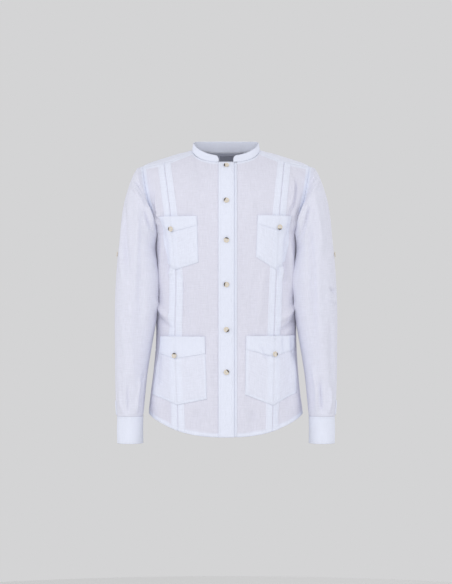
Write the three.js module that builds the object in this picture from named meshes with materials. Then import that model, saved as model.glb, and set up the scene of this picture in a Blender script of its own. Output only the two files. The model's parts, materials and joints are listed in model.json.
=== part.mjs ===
// A long-sleeved guayabera shirt in thin linen, in its worn shape and empty: two fronts with a placket
// and two rows of tucks, a back, a yoke over the shoulders, a narrow collar band, four pockets with
// pointed bands, sleeves with plackets and cuffs, a neck label and fourteen buttons.
// Millimetres, +Z up. The shirt faces -Y, and +X is the wearer's left. The origin is between the
// shoulders, at the height of the neck's sides, where the shirt hangs on its wearer.
import * as THREE from 'three';

// ---------------------------------------------------------------- driving sizes

const CLOTH = 1.4; // wall of one layer of cloth
const DOUBLE_CLOTH = 1.8; // wall of the collar band, placket and cuffs
const POCKET_CLOTH = 1.2;
const BAND_CLOTH = 1.0; // wall of the pocket bands, sleeve plackets and label
const SEAM_GAP = 0.3; // between two pieces at a seam
const LAY_GAP = 0.6; // under a piece that lies on another
const POCKET_GAP = 1.3; // under a pocket, which curves round to the side
const BAND_GAP = 0.8; // between a pocket and its band
const SQUARENESS = 2.3; // of the body's plan: 2 is an ellipse, more is a rounder box

// Half widths and depths of the body at each height. Above the armhole's foot the half width is that
// of the plan curve that the chest and the shoulder blades lie on.
const BODY = [
  { z: -660, right: 178, left: 178, front: 110, back: 104 },
  { z: -605, right: 177, left: 176, front: 110, back: 103 },
  { z: -560, right: 172.5, left: 170, front: 108, back: 101 },
  { z: -500, right: 165, left: 164.5, front: 104, back: 97 },
  { z: -430, right: 160, left: 161, front: 101, back: 91 },
  { z: -330, right: 162, left: 162, front: 107, back: 91 },
  { z: -250, right: 165, left: 165, front: 113, back: 96 },
  { z: -197, right: 168, left: 168, front: 115, back: 100 },
  { z: -178, right: 177, left: 177, front: 115, back: 100 },
  { z: -160, right: 184, left: 184, front: 115, back: 100 },
  { z: -138, right: 191, left: 191, front: 115, back: 99 },
  { z: -115, right: 198, left: 198, front: 115, back: 97 },
  { z: -80, right: 203, left: 203, front: 115, back: 95 },
  { z: 10, right: 205, left: 205, front: 115, back: 92 },
];

// Height of the shoulders' crest, from the middle out. Under the collar it is only where the front's
// and the back's curves would meet.
const CREST = [
  { x: 0, front: -5, back: 10.6 },
  { x: 45, front: -5, back: 8 },
  { x: 77, front: 3, back: 3 },
  { x: 94, front: -3, back: -3 },
  { x: 110, front: -9, back: -9 },
  { x: 133, front: -16.5, back: -16.5 },
  { x: 175, front: -30, back: -30 },
  { x: 191, front: -38, back: -38 },
  { x: 206, front: -46, back: -46 },
];
const CREST_Y = 2; // the crest lies this far behind the origin
const DOME_FOOT = -200; // the chest and back start to curve in to the crest at this height
const FRONT_DOME = { rise: 2, round: 1.8 };
const BACK_DOME = { rise: 4, round: 1.8 };

// The neck seam: a rounded plan, and its height as it runs from the front to the back.
const NECK = { halfWidth: 77, halfDepth: 49, y: -5, squareness: 2.4 };
const NECK_HEIGHT = [
  { y: -54, z: -32.5 },
  { y: -38, z: -21.4 },
  { y: -20, z: -8.3 },
  { y: -8, z: 0 },
  { y: 6, z: 3 },
  { y: 22, z: 1.5 },
  { y: 44, z: -4 },
];
const YOKE_MEETS_NECK = 75; // the shoulder seam leaves the neck seam this far from the middle
const NECK_EASE = { outwards: 40, down: 70 }; // how far from the neck seam the chest bends over to it

// The seam between the front and the yoke, a little in front of the crest.
const SHOULDER_SEAM = [
  { x: 75, z: -8.5 },
  { x: 100, z: -19 },
  { x: 128, z: -30 },
  { x: 160, z: -37 },
  { x: 190.4, z: -41.9 },
];

// The armhole: round steps of the sleeve's own count, with its half width from the middle by height.
const ARMHOLE = { top: -38, foot: -197, steps: 20 };
const ARMHOLE_WIDTH = [
  { z: -197, x: 168 },
  { z: -193, x: 167.6 },
  { z: -178, x: 167.4 },
  { z: -160, x: 169 },
  { z: -138, x: 172 },
  { z: -115, x: 178 },
  { z: -80, x: 185 },
  { z: -55, x: 189 },
  { z: -38, x: 191 },
];
const FRONT_SEAM_STEP = 1; // the shoulder seam meets the armhole at this step in front of the top
const BACK_SEAM_STEP = 4; // the back yoke seam meets it at this step behind

const HEM = { side: -605, drop: 48.5, halfWidth: 177, curve: 2.6 };
const HEM_ROWS = 9; // rows from the hem up to the armhole's foot

// Placket and button stand. The wearer's right front laps over the left.
const PLACKET = { right: -17, left: 18, front: -12 };
const STAND = { right: -9, left: 25 };

// The two tucks of each front: where the groove between them runs, and their width.
const TUCK_GROOVE = [
  { z: -655, right: 107, left: 104 },
  { z: -603, right: 108.5, left: 105 },
  { z: -423, right: 114.5, left: 108.5 },
  { z: -289, right: 113, left: 113 },
  { z: -154, right: 124.5, left: 119.7 },
  { z: -40, right: 140, left: 131.5 },
  { z: -20, right: 142.5, left: 133.5 },
];
const TUCK = { width: 13.6, halfGroove: 0.8, slope: 0.6, height: 1.2 };

// Pockets by their corners: z and distance from the middle. The band is the pocket's pointed top.
const POCKETS = [
  { name: 'chest_pocket', side: 'right', top: -156.5, innerTop: 65, outerTop: 150, inner: -260.8,
    innerLow: 62, outer: -262, outerLow: 136, point: -277, bandSide: 21, bandPoint: 35, button: 27.5 },
  { name: 'chest_pocket', side: 'left', top: -155, innerTop: 70.7, outerTop: 150, inner: -248.5,
    innerLow: 67.3, outer: -258, outerLow: 140, point: -277.6, bandSide: 19, bandPoint: 33, button: 25.3 },
  { name: 'lower_pocket', side: 'right', top: -427, innerTop: 47, outerTop: 149, inner: -568,
    innerLow: 42.6, outer: -560, outerLow: 162, point: -582, bandSide: 39, bandPoint: 51, button: 44 },
  { name: 'lower_pocket', side: 'left', top: -425.7, innerTop: 44.9, outerTop: 155, inner: -558,
    innerLow: 42.6, outer: -556, outerLow: 155, point: -583, bandSide: 30, bandPoint: 48, button: 41.7 },
];

// Collar band: its height and how far its top leans inwards, from the front to the back of the neck.
const COLLAR = [
  { y: -54, height: 15.5, lean: 12 },
  { y: -38, height: 16, lean: 9 },
  { y: -20, height: 15, lean: 5 },
  { y: -8, height: 14, lean: 2.5 },
  { y: 6, height: 14.2, lean: 2.5 },
  { y: 22, height: 18.5, lean: 3.5 },
  { y: 44, height: 26, lean: 5 },
];
const COLLAR_END_RADIUS = 13;
const COLLAR_END_DROP = 0.93; // how far the rounded ends come down, as a share of 1
const COLLAR_FOOT = { front: 0.9, back: 1.5 }; // above the neck seam, so that the band clears the cloth

// Sleeve sections, from the first ring below the armhole to the cuff. outer and inner are the ring's
// two ends seen from the front, as distance from the middle and height, and depth and y its
// half depth and its middle from front to back.
const SLEEVE = [
  { outerX: 204, outerZ: -43, innerX: 175, innerZ: -199.5, depth: 57, y: -2 },
  { outerX: 214, outerZ: -62, innerX: 172, innerZ: -206, depth: 60, y: -6 },
  { outerX: 224, outerZ: -90, innerX: 167, innerZ: -216, depth: 61, y: -11 },
  { outerX: 233, outerZ: -122, innerX: 160, innerZ: -229, depth: 62, y: -15 },
  { outerX: 239, outerZ: -160, innerX: 155, innerZ: -246, depth: 61, y: -18 },
  { outerX: 243, outerZ: -205, innerX: 151, innerZ: -268, depth: 60, y: -21 },
  { outerX: 248.5, outerZ: -260, innerX: 148, innerZ: -300, depth: 57, y: -24 },
  { outerX: 252.5, outerZ: -320, innerX: 151, innerZ: -345, depth: 54, y: -26 },
  { outerX: 254, outerZ: -388, innerX: 160, innerZ: -397, depth: 52, y: -28 },
  { outerX: 253.5, outerZ: -450, innerX: 169.5, innerZ: -450, depth: 49, y: -29 },
  { outerX: 253, outerZ: -512, innerX: 179.5, innerZ: -512, depth: 46, y: -31 },
  { outerX: 251.5, outerZ: -565, innerX: 185, innerZ: -565, depth: 44, y: -33 },
  { outerX: 249.5, outerZ: -597, innerX: 188, innerZ: -597, depth: 42, y: -34 },
  { outerX: 248.5, outerZ: -608.8, innerX: 189.5, innerZ: -608.8, depth: 39.5, y: -35 },
];
const SLEEVE_SQUARENESS = 2.1;
const CLEAR_OF_BODY = 3.5; // from the middle of the body's wall to the middle of the sleeve's
const ARMHOLE_GAP = { top: 1.4, foot: 2 }; // under the arm the cloth turns more sharply

const CUFF = { top: -609.6, foot: -671, x: 218.6, halfWidth: 29.4, depth: 39, y: -35 };
const CUFF_START = -55; // degrees round the wrist from its outer side, towards the front
const CUFF_END = 340;
const CUFF_TUCK_IN = 2.4; // the under end lies this much further in
const SLEEVE_PLACKET = { from: -18, to: 20, top: -573, foot: -606, gap: 1 };

const LABEL = { left: 25, right: -14, top: -8, foot: -27 };

const BUTTON = { radius: 6, thickness: 2.4, dish: 0.6, gap: 0.4 };
const PLACKET_BUTTONS = [-42, -122, -210.3, -309.9, -411.4, -507.4];
const PLACKET_BUTTON_X = 1;
const SLEEVE_BUTTON = { angle: 6, z: -241 };
const CUFF_BUTTON = { angle: -33, z: -641 };

const LINEN = { color: 0xdfdfea, roughness: 0.9, metalness: 0 };
const DOUBLED_LINEN = { color: 0xe9ebf5, roughness: 0.88, metalness: 0 };
const LABEL_TAPE = { color: 0xb9bccb, roughness: 0.7, metalness: 0 };
const HORN = { color: 0xc9bda6, roughness: 0.32, metalness: 0 };

// ---------------------------------------------------------------- curves

const DEGREE = Math.PI / 180;

function mix(a, b, share) {
  return a + (b - a) * share;
}

function smooth(from, to, at) {
  const share = Math.min(1, Math.max(0, (at - from) / (to - from)));
  return share * share * (3 - 2 * share);
}

// One column of a table at any place between its rows, on a smooth curve through them.
function along(table, key, at, column) {
  const last = table.length - 1;
  let i = 0;
  while (i < last - 1 && at > table[i + 1][key]) i += 1;
  const place = Math.min(table[last][key], Math.max(table[0][key], at));
  const slope = (j) => {
    const a = table[Math.max(0, j - 1)];
    const b = table[Math.min(last, j + 1)];
    return (b[column] - a[column]) / (b[key] - a[key]);
  };
  const step = table[i + 1][key] - table[i][key];
  const t = (place - table[i][key]) / step;
  const start = table[i][column] * (1 + 2 * t) * (1 - t) ** 2;
  const end = table[i + 1][column] * t * t * (3 - 2 * t);
  const bend = slope(i) * t * (1 - t) ** 2 - slope(i + 1) * t * t * (1 - t);
  return start + end + bend * step;
}

// A power that keeps the sign, for rounded boxes.
function signedPower(value, power) {
  return Math.sign(value) * Math.abs(value) ** power;
}

// ---------------------------------------------------------------- the body's form

function halfWidth(side, z) {
  return along(BODY, 'z', z, side);
}

// How far the plan curve stands out at x, as a share of its depth.
function planShare(side, x, z) {
  const across = Math.min(1, x / halfWidth(side, z));
  return (1 - across ** SQUARENESS) ** (1 / SQUARENESS);
}

// How far the chest or the back still stands out at this height, from 1 at the foot to 0 at the crest.
function domeShare(face, x, z) {
  const crest = along(CREST, 'x', x, face);
  const dome = face === 'front' ? FRONT_DOME : BACK_DOME;
  const height = Math.min(1, Math.max(0, (z - DOME_FOOT) / (crest - DOME_FOOT)));
  return (1 - height ** dome.rise) ** (1 / dome.round);
}

function plainFrontY(side, x, z) {
  const depth = along(BODY, 'z', z, 'front') * planShare(side, x, z);
  return CREST_Y - (depth + CREST_Y) * domeShare('front', x, z);
}

function backY(side, x, z) {
  const depth = along(BODY, 'z', z, 'back') * planShare(side, x, z);
  return CREST_Y + (depth - CREST_Y) * domeShare('back', x, z);
}

// The neck seam's point at an angle from the middle of the front, for one side.
function neckPoint(angle) {
  const power = 2 / NECK.squareness;
  const x = NECK.halfWidth * signedPower(Math.sin(angle), power);
  const y = NECK.y - NECK.halfDepth * signedPower(Math.cos(angle), power);
  return { x, y, z: along(NECK_HEIGHT, 'y', y, 'z') };
}

function neckAngle(x) {
  return Math.asin((x / NECK.halfWidth) ** (NECK.squareness / 2));
}

// Height of the front's upper edge: the neck seam, then the shoulder seam.
function frontTop(x) {
  if (x < YOKE_MEETS_NECK) return neckPoint(neckAngle(x)).z;
  return along(SHOULDER_SEAM, 'x', x, 'z');
}

// The front's own surface, eased so that its upper edge passes through the neck seam.
function frontY(side, x, z) {
  const edgeX = Math.min(x, YOKE_MEETS_NECK);
  const edge = neckPoint(neckAngle(edgeX));
  const miss = edge.y - plainFrontY(side, edgeX, edge.z);
  const outwards = 1 - smooth(YOKE_MEETS_NECK, YOKE_MEETS_NECK + NECK_EASE.outwards, x);
  const upwards = smooth(edge.z - NECK_EASE.down, edge.z, z);
  return plainFrontY(side, x, z) + miss * outwards * upwards;
}

const SIGN = { right: -1, left: 1 };

// A point on the front, lifted off its surface. x is the distance from the middle, and a negative one
// lies on the other side.
function onFront(side, x, z, lift = 0) {
  const surface = (px, pz) => {
    const own = px < 0 ? (side === 'right' ? 'left' : 'right') : side;
    return frontY(own, Math.abs(px), pz);
  };
  const step = 0.5;
  const slopeX = (surface(x + step, z) - surface(x - step, z)) / (2 * step);
  const slopeZ = (surface(x, z + step) - surface(x, z - step)) / (2 * step);
  const out = new THREE.Vector3(slopeX, -1, slopeZ).normalize();
  const point = new THREE.Vector3(x, surface(x, z), z).addScaledVector(out, lift);
  point.x *= SIGN[side];
  return point;
}

function hemHeight(x) {
  const across = Math.min(1, Math.abs(x) / HEM.halfWidth);
  return HEM.side - HEM.drop * (1 - across ** HEM.curve);
}

function armholeHeight(step) {
  const angle = (2 * Math.PI * step) / ARMHOLE.steps;
  const middle = (ARMHOLE.top + ARMHOLE.foot) / 2;
  return middle + ((ARMHOLE.top - ARMHOLE.foot) / 2) * Math.cos(angle);
}

// The armhole's point at a step round it: forwards from the shoulder, under the arm and up behind.
function armholePoint(side, step) {
  const z = armholeHeight(step);
  const x = along(ARMHOLE_WIDTH, 'z', z, 'x');
  const inFront = step <= ARMHOLE.steps / 2;
  const y = inFront ? frontY(side, x, z) : backY(side, x, z);
  return new THREE.Vector3(SIGN[side] * x, y, z);
}

// ---------------------------------------------------------------- walls from rows of points

function between(a, b) {
  return new THREE.Vector3().subVectors(b, a);
}

// Each point's way out of the cloth, from its neighbours along and across.
function gridNormals(rows, closed) {
  const columns = rows[0].length;
  return rows.map((row, j) => row.map((_, i) => {
    const before = closed ? (i + columns - 1) % columns : Math.max(0, i - 1);
    const after = closed ? (i + 1) % columns : Math.min(columns - 1, i + 1);
    const across = between(row[before], row[after]);
    const down = rows[Math.max(0, j - 1)][i];
    const up = rows[Math.min(rows.length - 1, j + 1)][i];
    return across.cross(between(down, up)).normalize();
  }));
}

// A closed wall about rows of points that run round or across the cloth, bottom row first, so that
// its way out is on the right-hand side. raise(i, j) thickens the outer face.
function wall(rows, { thickness, closed = false, flip = false, raise = () => 0 }) {
  const way = flip ? -1 : 1;
  const normals = gridNormals(rows, closed);
  const columns = rows[0].length;
  const positions = [];
  const layer = (offset) => rows.forEach((row, j) => row.forEach((point, i) => {
    const moved = point.clone().addScaledVector(normals[j][i], way * offset(i, j));
    positions.push(moved.x, moved.y, moved.z);
  }));
  layer((i, j) => thickness / 2 + raise(i, j));
  layer(() => -thickness / 2);
  const inner = rows.length * columns;
  const at = (i, j) => j * columns + (i % columns);
  const faces = [];
  const quad = (a, b, c, d) => {
    if (flip) faces.push(a, c, b, a, d, c);
    else faces.push(a, b, c, a, c, d);
  };
  const spans = closed ? columns : columns - 1;
  for (let j = 0; j < rows.length - 1; j += 1) {
    for (let i = 0; i < spans; i += 1) {
      quad(at(i, j), at(i + 1, j), at(i + 1, j + 1), at(i, j + 1));
      quad(inner + at(i, j + 1), inner + at(i + 1, j + 1), inner + at(i + 1, j), inner + at(i, j));
    }
  }
  const top = rows.length - 1;
  for (let i = 0; i < spans; i += 1) {
    quad(at(i + 1, 0), at(i, 0), inner + at(i, 0), inner + at(i + 1, 0));
    quad(at(i, top), at(i + 1, top), inner + at(i + 1, top), inner + at(i, top));
  }
  if (!closed) {
    for (let j = 0; j < top; j += 1) {
      const far = columns - 1;
      quad(at(0, j), at(0, j + 1), inner + at(0, j + 1), inner + at(0, j));
      quad(at(far, j + 1), at(far, j), inner + at(far, j), inner + at(far, j + 1));
    }
  }
  const geometry = new THREE.BufferGeometry();
  geometry.setAttribute('position', new THREE.Float32BufferAttribute(positions, 3));
  geometry.setIndex(faces);
  return geometry;
}

const shirt = new THREE.Group();

function add(name, geometry, finish) {
  const mesh = new THREE.Mesh(geometry, new THREE.MeshStandardMaterial(finish));
  mesh.name = name;
  shirt.add(mesh);
  return mesh;
}

// ---------------------------------------------------------------- fronts

const NECK_COLUMNS = [PLACKET.front, 34, 54, 68, YOKE_MEETS_NECK];
const TUCK_COLUMNS = [
  { at: -1, slope: -1, raised: false },
  { at: -1, slope: 0, raised: true },
  { at: 0, slope: 0, raised: true },
  { at: 0, slope: 1, raised: false },
];
const OUTER_COLUMNS = 5; // spans from the tucks to the side seam

// Where the tucks' edges lie beside the groove's line: one tuck on each side of it.
function tuckEdges() {
  const half = [];
  for (const edge of TUCK_COLUMNS) {
    const offset = edge.at * TUCK.width - TUCK.halfGroove - TUCK.slope + edge.slope * TUCK.slope;
    half.push({ offset, raised: edge.raised });
  }
  const mirrored = half.map(({ offset, raised }) => ({ offset: -offset, raised })).reverse();
  return [...half, ...mirrored];
}
const TUCK_EDGES = tuckEdges();
const TUCK_REACH = -TUCK_EDGES[0].offset; // from the groove's line to the tucks' outer edges

function groove(side, z) {
  return along(TUCK_GROOVE, 'z', z, side);
}

function planAngle(side, x, z) {
  return Math.asin(Math.min(1, x / halfWidth(side, z)) ** (SQUARENESS / 2));
}

function planX(side, angle, z) {
  return halfWidth(side, z) * Math.sin(angle) ** (2 / SQUARENESS);
}

// Heights of the rows of a front's or a back's edge at the arm: side seam, then armhole.
function edgeHeights(lastStep) {
  const heights = [];
  for (let j = 0; j <= HEM_ROWS; j += 1) heights.push(mix(HEM.side, ARMHOLE.foot, j / HEM_ROWS));
  for (let step = ARMHOLE.steps / 2 - 1; step >= lastStep; step -= 1) heights.push(armholeHeight(step));
  return heights;
}

function edgeX(side, z) {
  return z <= ARMHOLE.foot ? halfWidth(side, z) : along(ARMHOLE_WIDTH, 'z', z, 'x');
}

// The x of every column of a front at height z, where the row's arm end is at armZ.
function frontColumnsX(side, z, armZ) {
  const start = side === 'right' ? PLACKET.front * SIGN.right : STAND.left + SEAM_GAP;
  const tucksTop = groove(side, SHOULDER_SEAM[2].z) - TUCK_REACH;
  const tucks = groove(side, z) - TUCK_REACH;
  const columns = NECK_COLUMNS.map((x) => {
    const share = (Math.max(x, start) - start) / (tucksTop - start);
    return mix(start, tucks, share);
  });
  columns[0] = start;
  columns.push(mix(columns[NECK_COLUMNS.length - 1], tucks, 0.5));
  TUCK_EDGES.forEach(({ offset }) => columns.push(groove(side, z) + offset));
  const from = planAngle(side, groove(side, z) + TUCK_REACH, z);
  const to = planAngle(side, edgeX(side, armZ), armZ);
  for (let k = 1; k <= OUTER_COLUMNS; k += 1) columns.push(planX(side, mix(from, to, k / OUTER_COLUMNS), z));
  columns[columns.length - 1] = edgeX(side, armZ);
  return columns;
}

const FIRST_TUCK_COLUMN = NECK_COLUMNS.length + 1;

// Rows of points on a front, from the hem up, with the columns running out from the middle.
function frontRows(side) {
  const heights = edgeHeights(FRONT_SEAM_STEP);
  const topZ = heights[heights.length - 1];
  const topX = frontColumnsX(side, SHOULDER_SEAM[2].z, topZ);
  const hemX = frontColumnsX(side, HEM.side - HEM.drop / 2, HEM.side);
  const tops = topX.map((x, i) => (i === topX.length - 1 ? topZ : frontTop(x)));
  const hems = hemX.map((x) => hemHeight(x));
  return heights.map((armZ, j) => {
    const place = (i) => {
      if (j <= HEM_ROWS) return mix(hems[i], ARMHOLE.foot, j / HEM_ROWS);
      return mix(ARMHOLE.foot, tops[i], (armZ - ARMHOLE.foot) / (topZ - ARMHOLE.foot));
    };
    return tops.map((_, i) => {
      const z = i === tops.length - 1 ? armZ : place(i);
      const x = frontColumnsX(side, z, armZ)[i];
      return onFront(side, x, z);
    });
  });
}

// Moves a row's end away from the next piece, for the gap at a seam.
function trimEnd(rows, column, gap) {
  const next = column === 0 ? 1 : column - 1;
  rows.forEach((row) => {
    const inwards = between(row[column], row[next]).normalize();
    row[column].addScaledVector(inwards, gap);
  });
}

function trimTop(rows, gap) {
  const top = rows.length - 1;
  rows[top].forEach((point, i) => {
    const down = between(point, rows[top - 1][i]).normalize();
    point.addScaledVector(down, gap);
  });
}

const FRONT_GRIDS = { right: frontRows('right'), left: frontRows('left') };

for (const side of ['right', 'left']) {
  const rows = FRONT_GRIDS[side].map((row) => row.map((point) => point.clone()));
  trimEnd(rows, rows[0].length - 1, SEAM_GAP / 2);
  trimTop(rows, SEAM_GAP);
  const raise = (i) => {
    const edge = TUCK_EDGES[i - FIRST_TUCK_COLUMN];
    return edge && edge.raised ? TUCK.height : 0;
  };
  add(`front_${side}`, wall(rows, { thickness: CLOTH, flip: side === 'right', raise }), LINEN);
}

// ---------------------------------------------------------------- placket and button stand

// A strip up the middle of the front, from the hem to the neck seam.
function stripRows(right, left, lift, lower) {
  const spans = 3;
  const heights = edgeHeights(FRONT_SEAM_STEP);
  const top = neckPoint(0).z - SEAM_GAP;
  const foot = HEM.side - HEM.drop + lower;
  return heights.map((armZ) => {
    const z = mix(foot, top, (armZ - HEM.side) / (heights[heights.length - 1] - HEM.side));
    const row = [];
    for (let i = 0; i <= spans; i += 1) row.push(onFront('left', mix(right, left, i / spans), z, lift));
    return row;
  });
}

const PLACKET_LIFT = CLOTH / 2 + LAY_GAP + DOUBLE_CLOTH / 2;
add('placket', wall(stripRows(PLACKET.right, PLACKET.left, PLACKET_LIFT, 0), { thickness: DOUBLE_CLOTH }),
  DOUBLED_LINEN);
add('button_stand', wall(stripRows(STAND.right, STAND.left, 0, 1), { thickness: CLOTH }), DOUBLED_LINEN);

// ---------------------------------------------------------------- back

const BACK_SPANS = 14;

function backRows() {
  const heights = edgeHeights(BACK_SEAM_STEP);
  const seam = heights[heights.length - 1];
  return heights.map((armZ, j) => {
    const row = [];
    for (let i = 0; i <= BACK_SPANS; i += 1) {
      const across = (2 * i) / BACK_SPANS - 1; // from the wearer's left to the right
      const side = across < 0 ? 'left' : 'right';
      const last = i === 0 || i === BACK_SPANS;
      const armX = edgeX(side, armZ);
      const share = Math.abs(across);
      const bottomX = planX(side, planAngle(side, HEM.halfWidth - 1, HEM.side) * share, HEM.side);
      const low = mix(last ? HEM.side : hemHeight(bottomX), ARMHOLE.foot, j / HEM_ROWS);
      const z = j <= HEM_ROWS ? low : armZ;
      const x = last ? armX : planX(side, planAngle(side, armX, armZ) * share, z);
      row.push(new THREE.Vector3(SIGN[side] * x, backY(side, x, z), Math.min(z, seam)));
    }
    return row;
  });
}

const backGrid = backRows();
trimEnd(backGrid, 0, SEAM_GAP / 2);
trimEnd(backGrid, BACK_SPANS, SEAM_GAP / 2);
trimTop(backGrid, SEAM_GAP);
add('back', wall(backGrid, { thickness: CLOTH }), LINEN);

// ---------------------------------------------------------------- yoke

const YOKE_ROWS = FRONT_SEAM_STEP + BACK_SEAM_STEP; // spans from the shoulder seam to the back seam
const NECK_SPANS = 12; // round the back of the neck, between the two shoulder seams
const YOKE_BACK_REACH = 88; // the back seam's points below the neck's side lie this far out

// The upper edge of a front, from the neck's side to the armhole, thinned to the yoke's own columns.
function shoulderSeamPoints(side) {
  const grid = FRONT_GRIDS[side];
  const top = grid[grid.length - 1];
  const first = NECK_COLUMNS.length - 1;
  const tuck = FIRST_TUCK_COLUMN;
  const picks = [first, tuck - 1, tuck, tuck + 3, tuck + 7, tuck + 9, top.length - 1];
  return picks.map((i) => top[i].clone());
}

// The angle of a point in the shoulder's profile: 0 behind, 90 at the crest, 180 in front.
function profileAngle(side, x, y, z) {
  const behind = y >= CREST_Y;
  const face = behind ? 'back' : 'front';
  const dome = behind ? BACK_DOME : FRONT_DOME;
  const depth = along(BODY, 'z', z, face) * planShare(side, x, z);
  const reach = behind ? (y - CREST_Y) / (depth - CREST_Y) : (CREST_Y - y) / (depth + CREST_Y);
  const angle = Math.acos(Math.min(1, reach) ** (dome.round / 2));
  return behind ? angle : Math.PI - angle;
}

function profilePoint(side, x, angle) {
  const behind = angle <= Math.PI / 2;
  const face = behind ? 'back' : 'front';
  const dome = behind ? BACK_DOME : FRONT_DOME;
  const crest = along(CREST, 'x', x, face);
  const z = mix(DOME_FOOT, crest, Math.sin(angle) ** (2 / dome.rise));
  const y = behind ? backY(side, x, z) : plainFrontY(side, x, z);
  return new THREE.Vector3(SIGN[side] * x, y, z);
}

// One column of the yoke, from its front or neck edge over to the back seam.
function yokeColumn(side, start, backX, seamZ) {
  const startX = Math.abs(start.x);
  const from = profileAngle(side, startX, start.y, start.z);
  const crest = along(CREST, 'x', backX, 'back');
  const to = Math.asin(((seamZ - DOME_FOOT) / (crest - DOME_FOOT)) ** (BACK_DOME.rise / 2));
  const points = [];
  for (let r = 0; r <= YOKE_ROWS; r += 1) {
    const share = r / YOKE_ROWS;
    points.push(profilePoint(side, mix(startX, backX, share), mix(from, to, share)));
  }
  const miss = between(points[0], start);
  points.forEach((point, r) => point.addScaledVector(miss, (1 - r / YOKE_ROWS) ** 2));
  return points;
}

function yokeColumns() {
  const seamZ = armholeHeight(BACK_SEAM_STEP);
  const armX = along(ARMHOLE_WIDTH, 'z', seamZ, 'x');
  const arm = (side) => shoulderSeamPoints(side).map((start, k, all) => {
    const reach = (Math.abs(start.x) - YOKE_MEETS_NECK) / (Math.abs(all[all.length - 1].x) - YOKE_MEETS_NECK);
    return yokeColumn(side, start, mix(YOKE_BACK_REACH, armX, reach), seamZ);
  });
  const neck = [];
  for (let k = 1; k < NECK_SPANS; k += 1) {
    const share = (2 * k) / NECK_SPANS - 1; // from the wearer's left round to the right
    const side = share < 0 ? 'left' : 'right';
    const first = neckAngle(YOKE_MEETS_NECK);
    const spot = neckPoint(mix(Math.PI, first, Math.abs(share)));
    const start = new THREE.Vector3(SIGN[side] * spot.x, spot.y, spot.z);
    neck.push(yokeColumn(side, start, YOKE_BACK_REACH * Math.abs(share), seamZ));
  }
  const columns = [...arm('left').reverse(), ...neck, ...arm('right')];
  // The two ends lie on the armholes, and their neighbours ease over to them.
  [['left', 0, 1], ['right', columns.length - 1, -1]].forEach(([side, end, inwards]) => {
    const shift = columns[end].map((point, r) => {
      const step = (ARMHOLE.steps + FRONT_SEAM_STEP - r) % ARMHOLE.steps;
      return between(point, armholePoint(side, step));
    });
    [1, 0.4, 0.1].forEach((share, k) => {
      columns[end + inwards * k].forEach((point, r) => point.addScaledVector(shift[r], share));
    });
  });
  return columns;
}

function yokeRows() {
  const columns = yokeColumns();
  const rows = [];
  for (let r = YOKE_ROWS; r >= 0; r -= 1) rows.push(columns.map((column) => column[r]));
  return rows;
}

const yokeGrid = yokeRows();
trimTop(yokeGrid, SEAM_GAP / 2);
trimTop(yokeGrid.reverse(), SEAM_GAP);
yokeGrid.reverse();
add('yoke', wall(yokeGrid, { thickness: CLOTH }), LINEN);

// ---------------------------------------------------------------- collar band

// The band's plan points along the neck seam, from the wearer's right end round the back to the left.
function neckSeamPoints() {
  const ends = [20.5, 25, 30]; // closely spaced points round each rounded end
  const front = (side) => {
    const grid = FRONT_GRIDS[side];
    const top = grid[grid.length - 1];
    const own = top.slice(1, NECK_COLUMNS.length).map((point) => point.clone());
    const start = onFront(side, PLACKET.left - 0.5, frontTop(PLACKET.left - 0.5));
    const rest = ends.map((x) => {
      const share = (x - Math.abs(start.x)) / (Math.abs(own[0].x) - Math.abs(start.x));
      return start.clone().lerp(own[0], share);
    });
    return [start, ...rest, ...own];
  };
  const back = [];
  const first = neckAngle(YOKE_MEETS_NECK);
  for (let k = 1; k < NECK_SPANS; k += 1) {
    const share = (2 * k) / NECK_SPANS - 1;
    const spot = neckPoint(mix(Math.PI, first, Math.abs(share)));
    back.push(new THREE.Vector3(Math.sign(share) * spot.x, spot.y, spot.z));
  }
  return [...front('right'), ...back, ...front('left').reverse()];
}

function collarRows() {
  const base = neckSeamPoints();
  const centre = new THREE.Vector3(0, NECK.y, 0);
  const spans = 3;
  const rows = [];
  for (let r = 0; r <= spans; r += 1) {
    rows.push(base.map((point) => {
      const inwards = between(point, centre).setZ(0).normalize();
      const height = along(COLLAR, 'y', point.y, 'height');
      const lean = along(COLLAR, 'y', point.y, 'lean');
      const fromEnd = Math.max(0, Math.abs(point.x) - PLACKET.left + 0.5);
      const rounding = 1 - Math.min(1, fromEnd / COLLAR_END_RADIUS);
      const inFront = point.y < NECK.y;
      const full = inFront ? Math.sqrt(1 - COLLAR_END_DROP * rounding ** 2) : 1;
      const start = mix(COLLAR_FOOT.front, COLLAR_FOOT.back, smooth(-50, -20, point.y));
      const share = start / height + (1 - start / height) * (r / spans) * full;
      return point.clone().addScaledVector(inwards, lean * share).setZ(point.z + height * share);
    }));
  }
  return rows;
}

add('collar_band', wall(collarRows(), { thickness: DOUBLE_CLOTH, flip: true }), DOUBLED_LINEN);

// ---------------------------------------------------------------- label

function labelRows() {
  const lift = CLOTH / 2 + LAY_GAP + BAND_CLOTH / 2;
  const spans = 4;
  const rows = [];
  for (let j = 0; j <= 2; j += 1) {
    const row = [];
    for (let i = 0; i <= spans; i += 1) {
      const x = mix(LABEL.right, LABEL.left, i / spans);
      const z = mix(LABEL.foot, LABEL.top, j / 2);
      const side = x < 0 ? 'right' : 'left';
      row.push(new THREE.Vector3(x, backY(side, Math.abs(x), z), z));
    }
    rows.push(row);
  }
  const normals = gridNormals(rows, false);
  rows.forEach((row, j) => row.forEach((point, i) => point.addScaledVector(normals[j][i], lift)));
  return rows;
}

add('neck_label', wall(labelRows(), { thickness: BAND_CLOTH }), LABEL_TAPE);

// ---------------------------------------------------------------- sleeves

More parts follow.
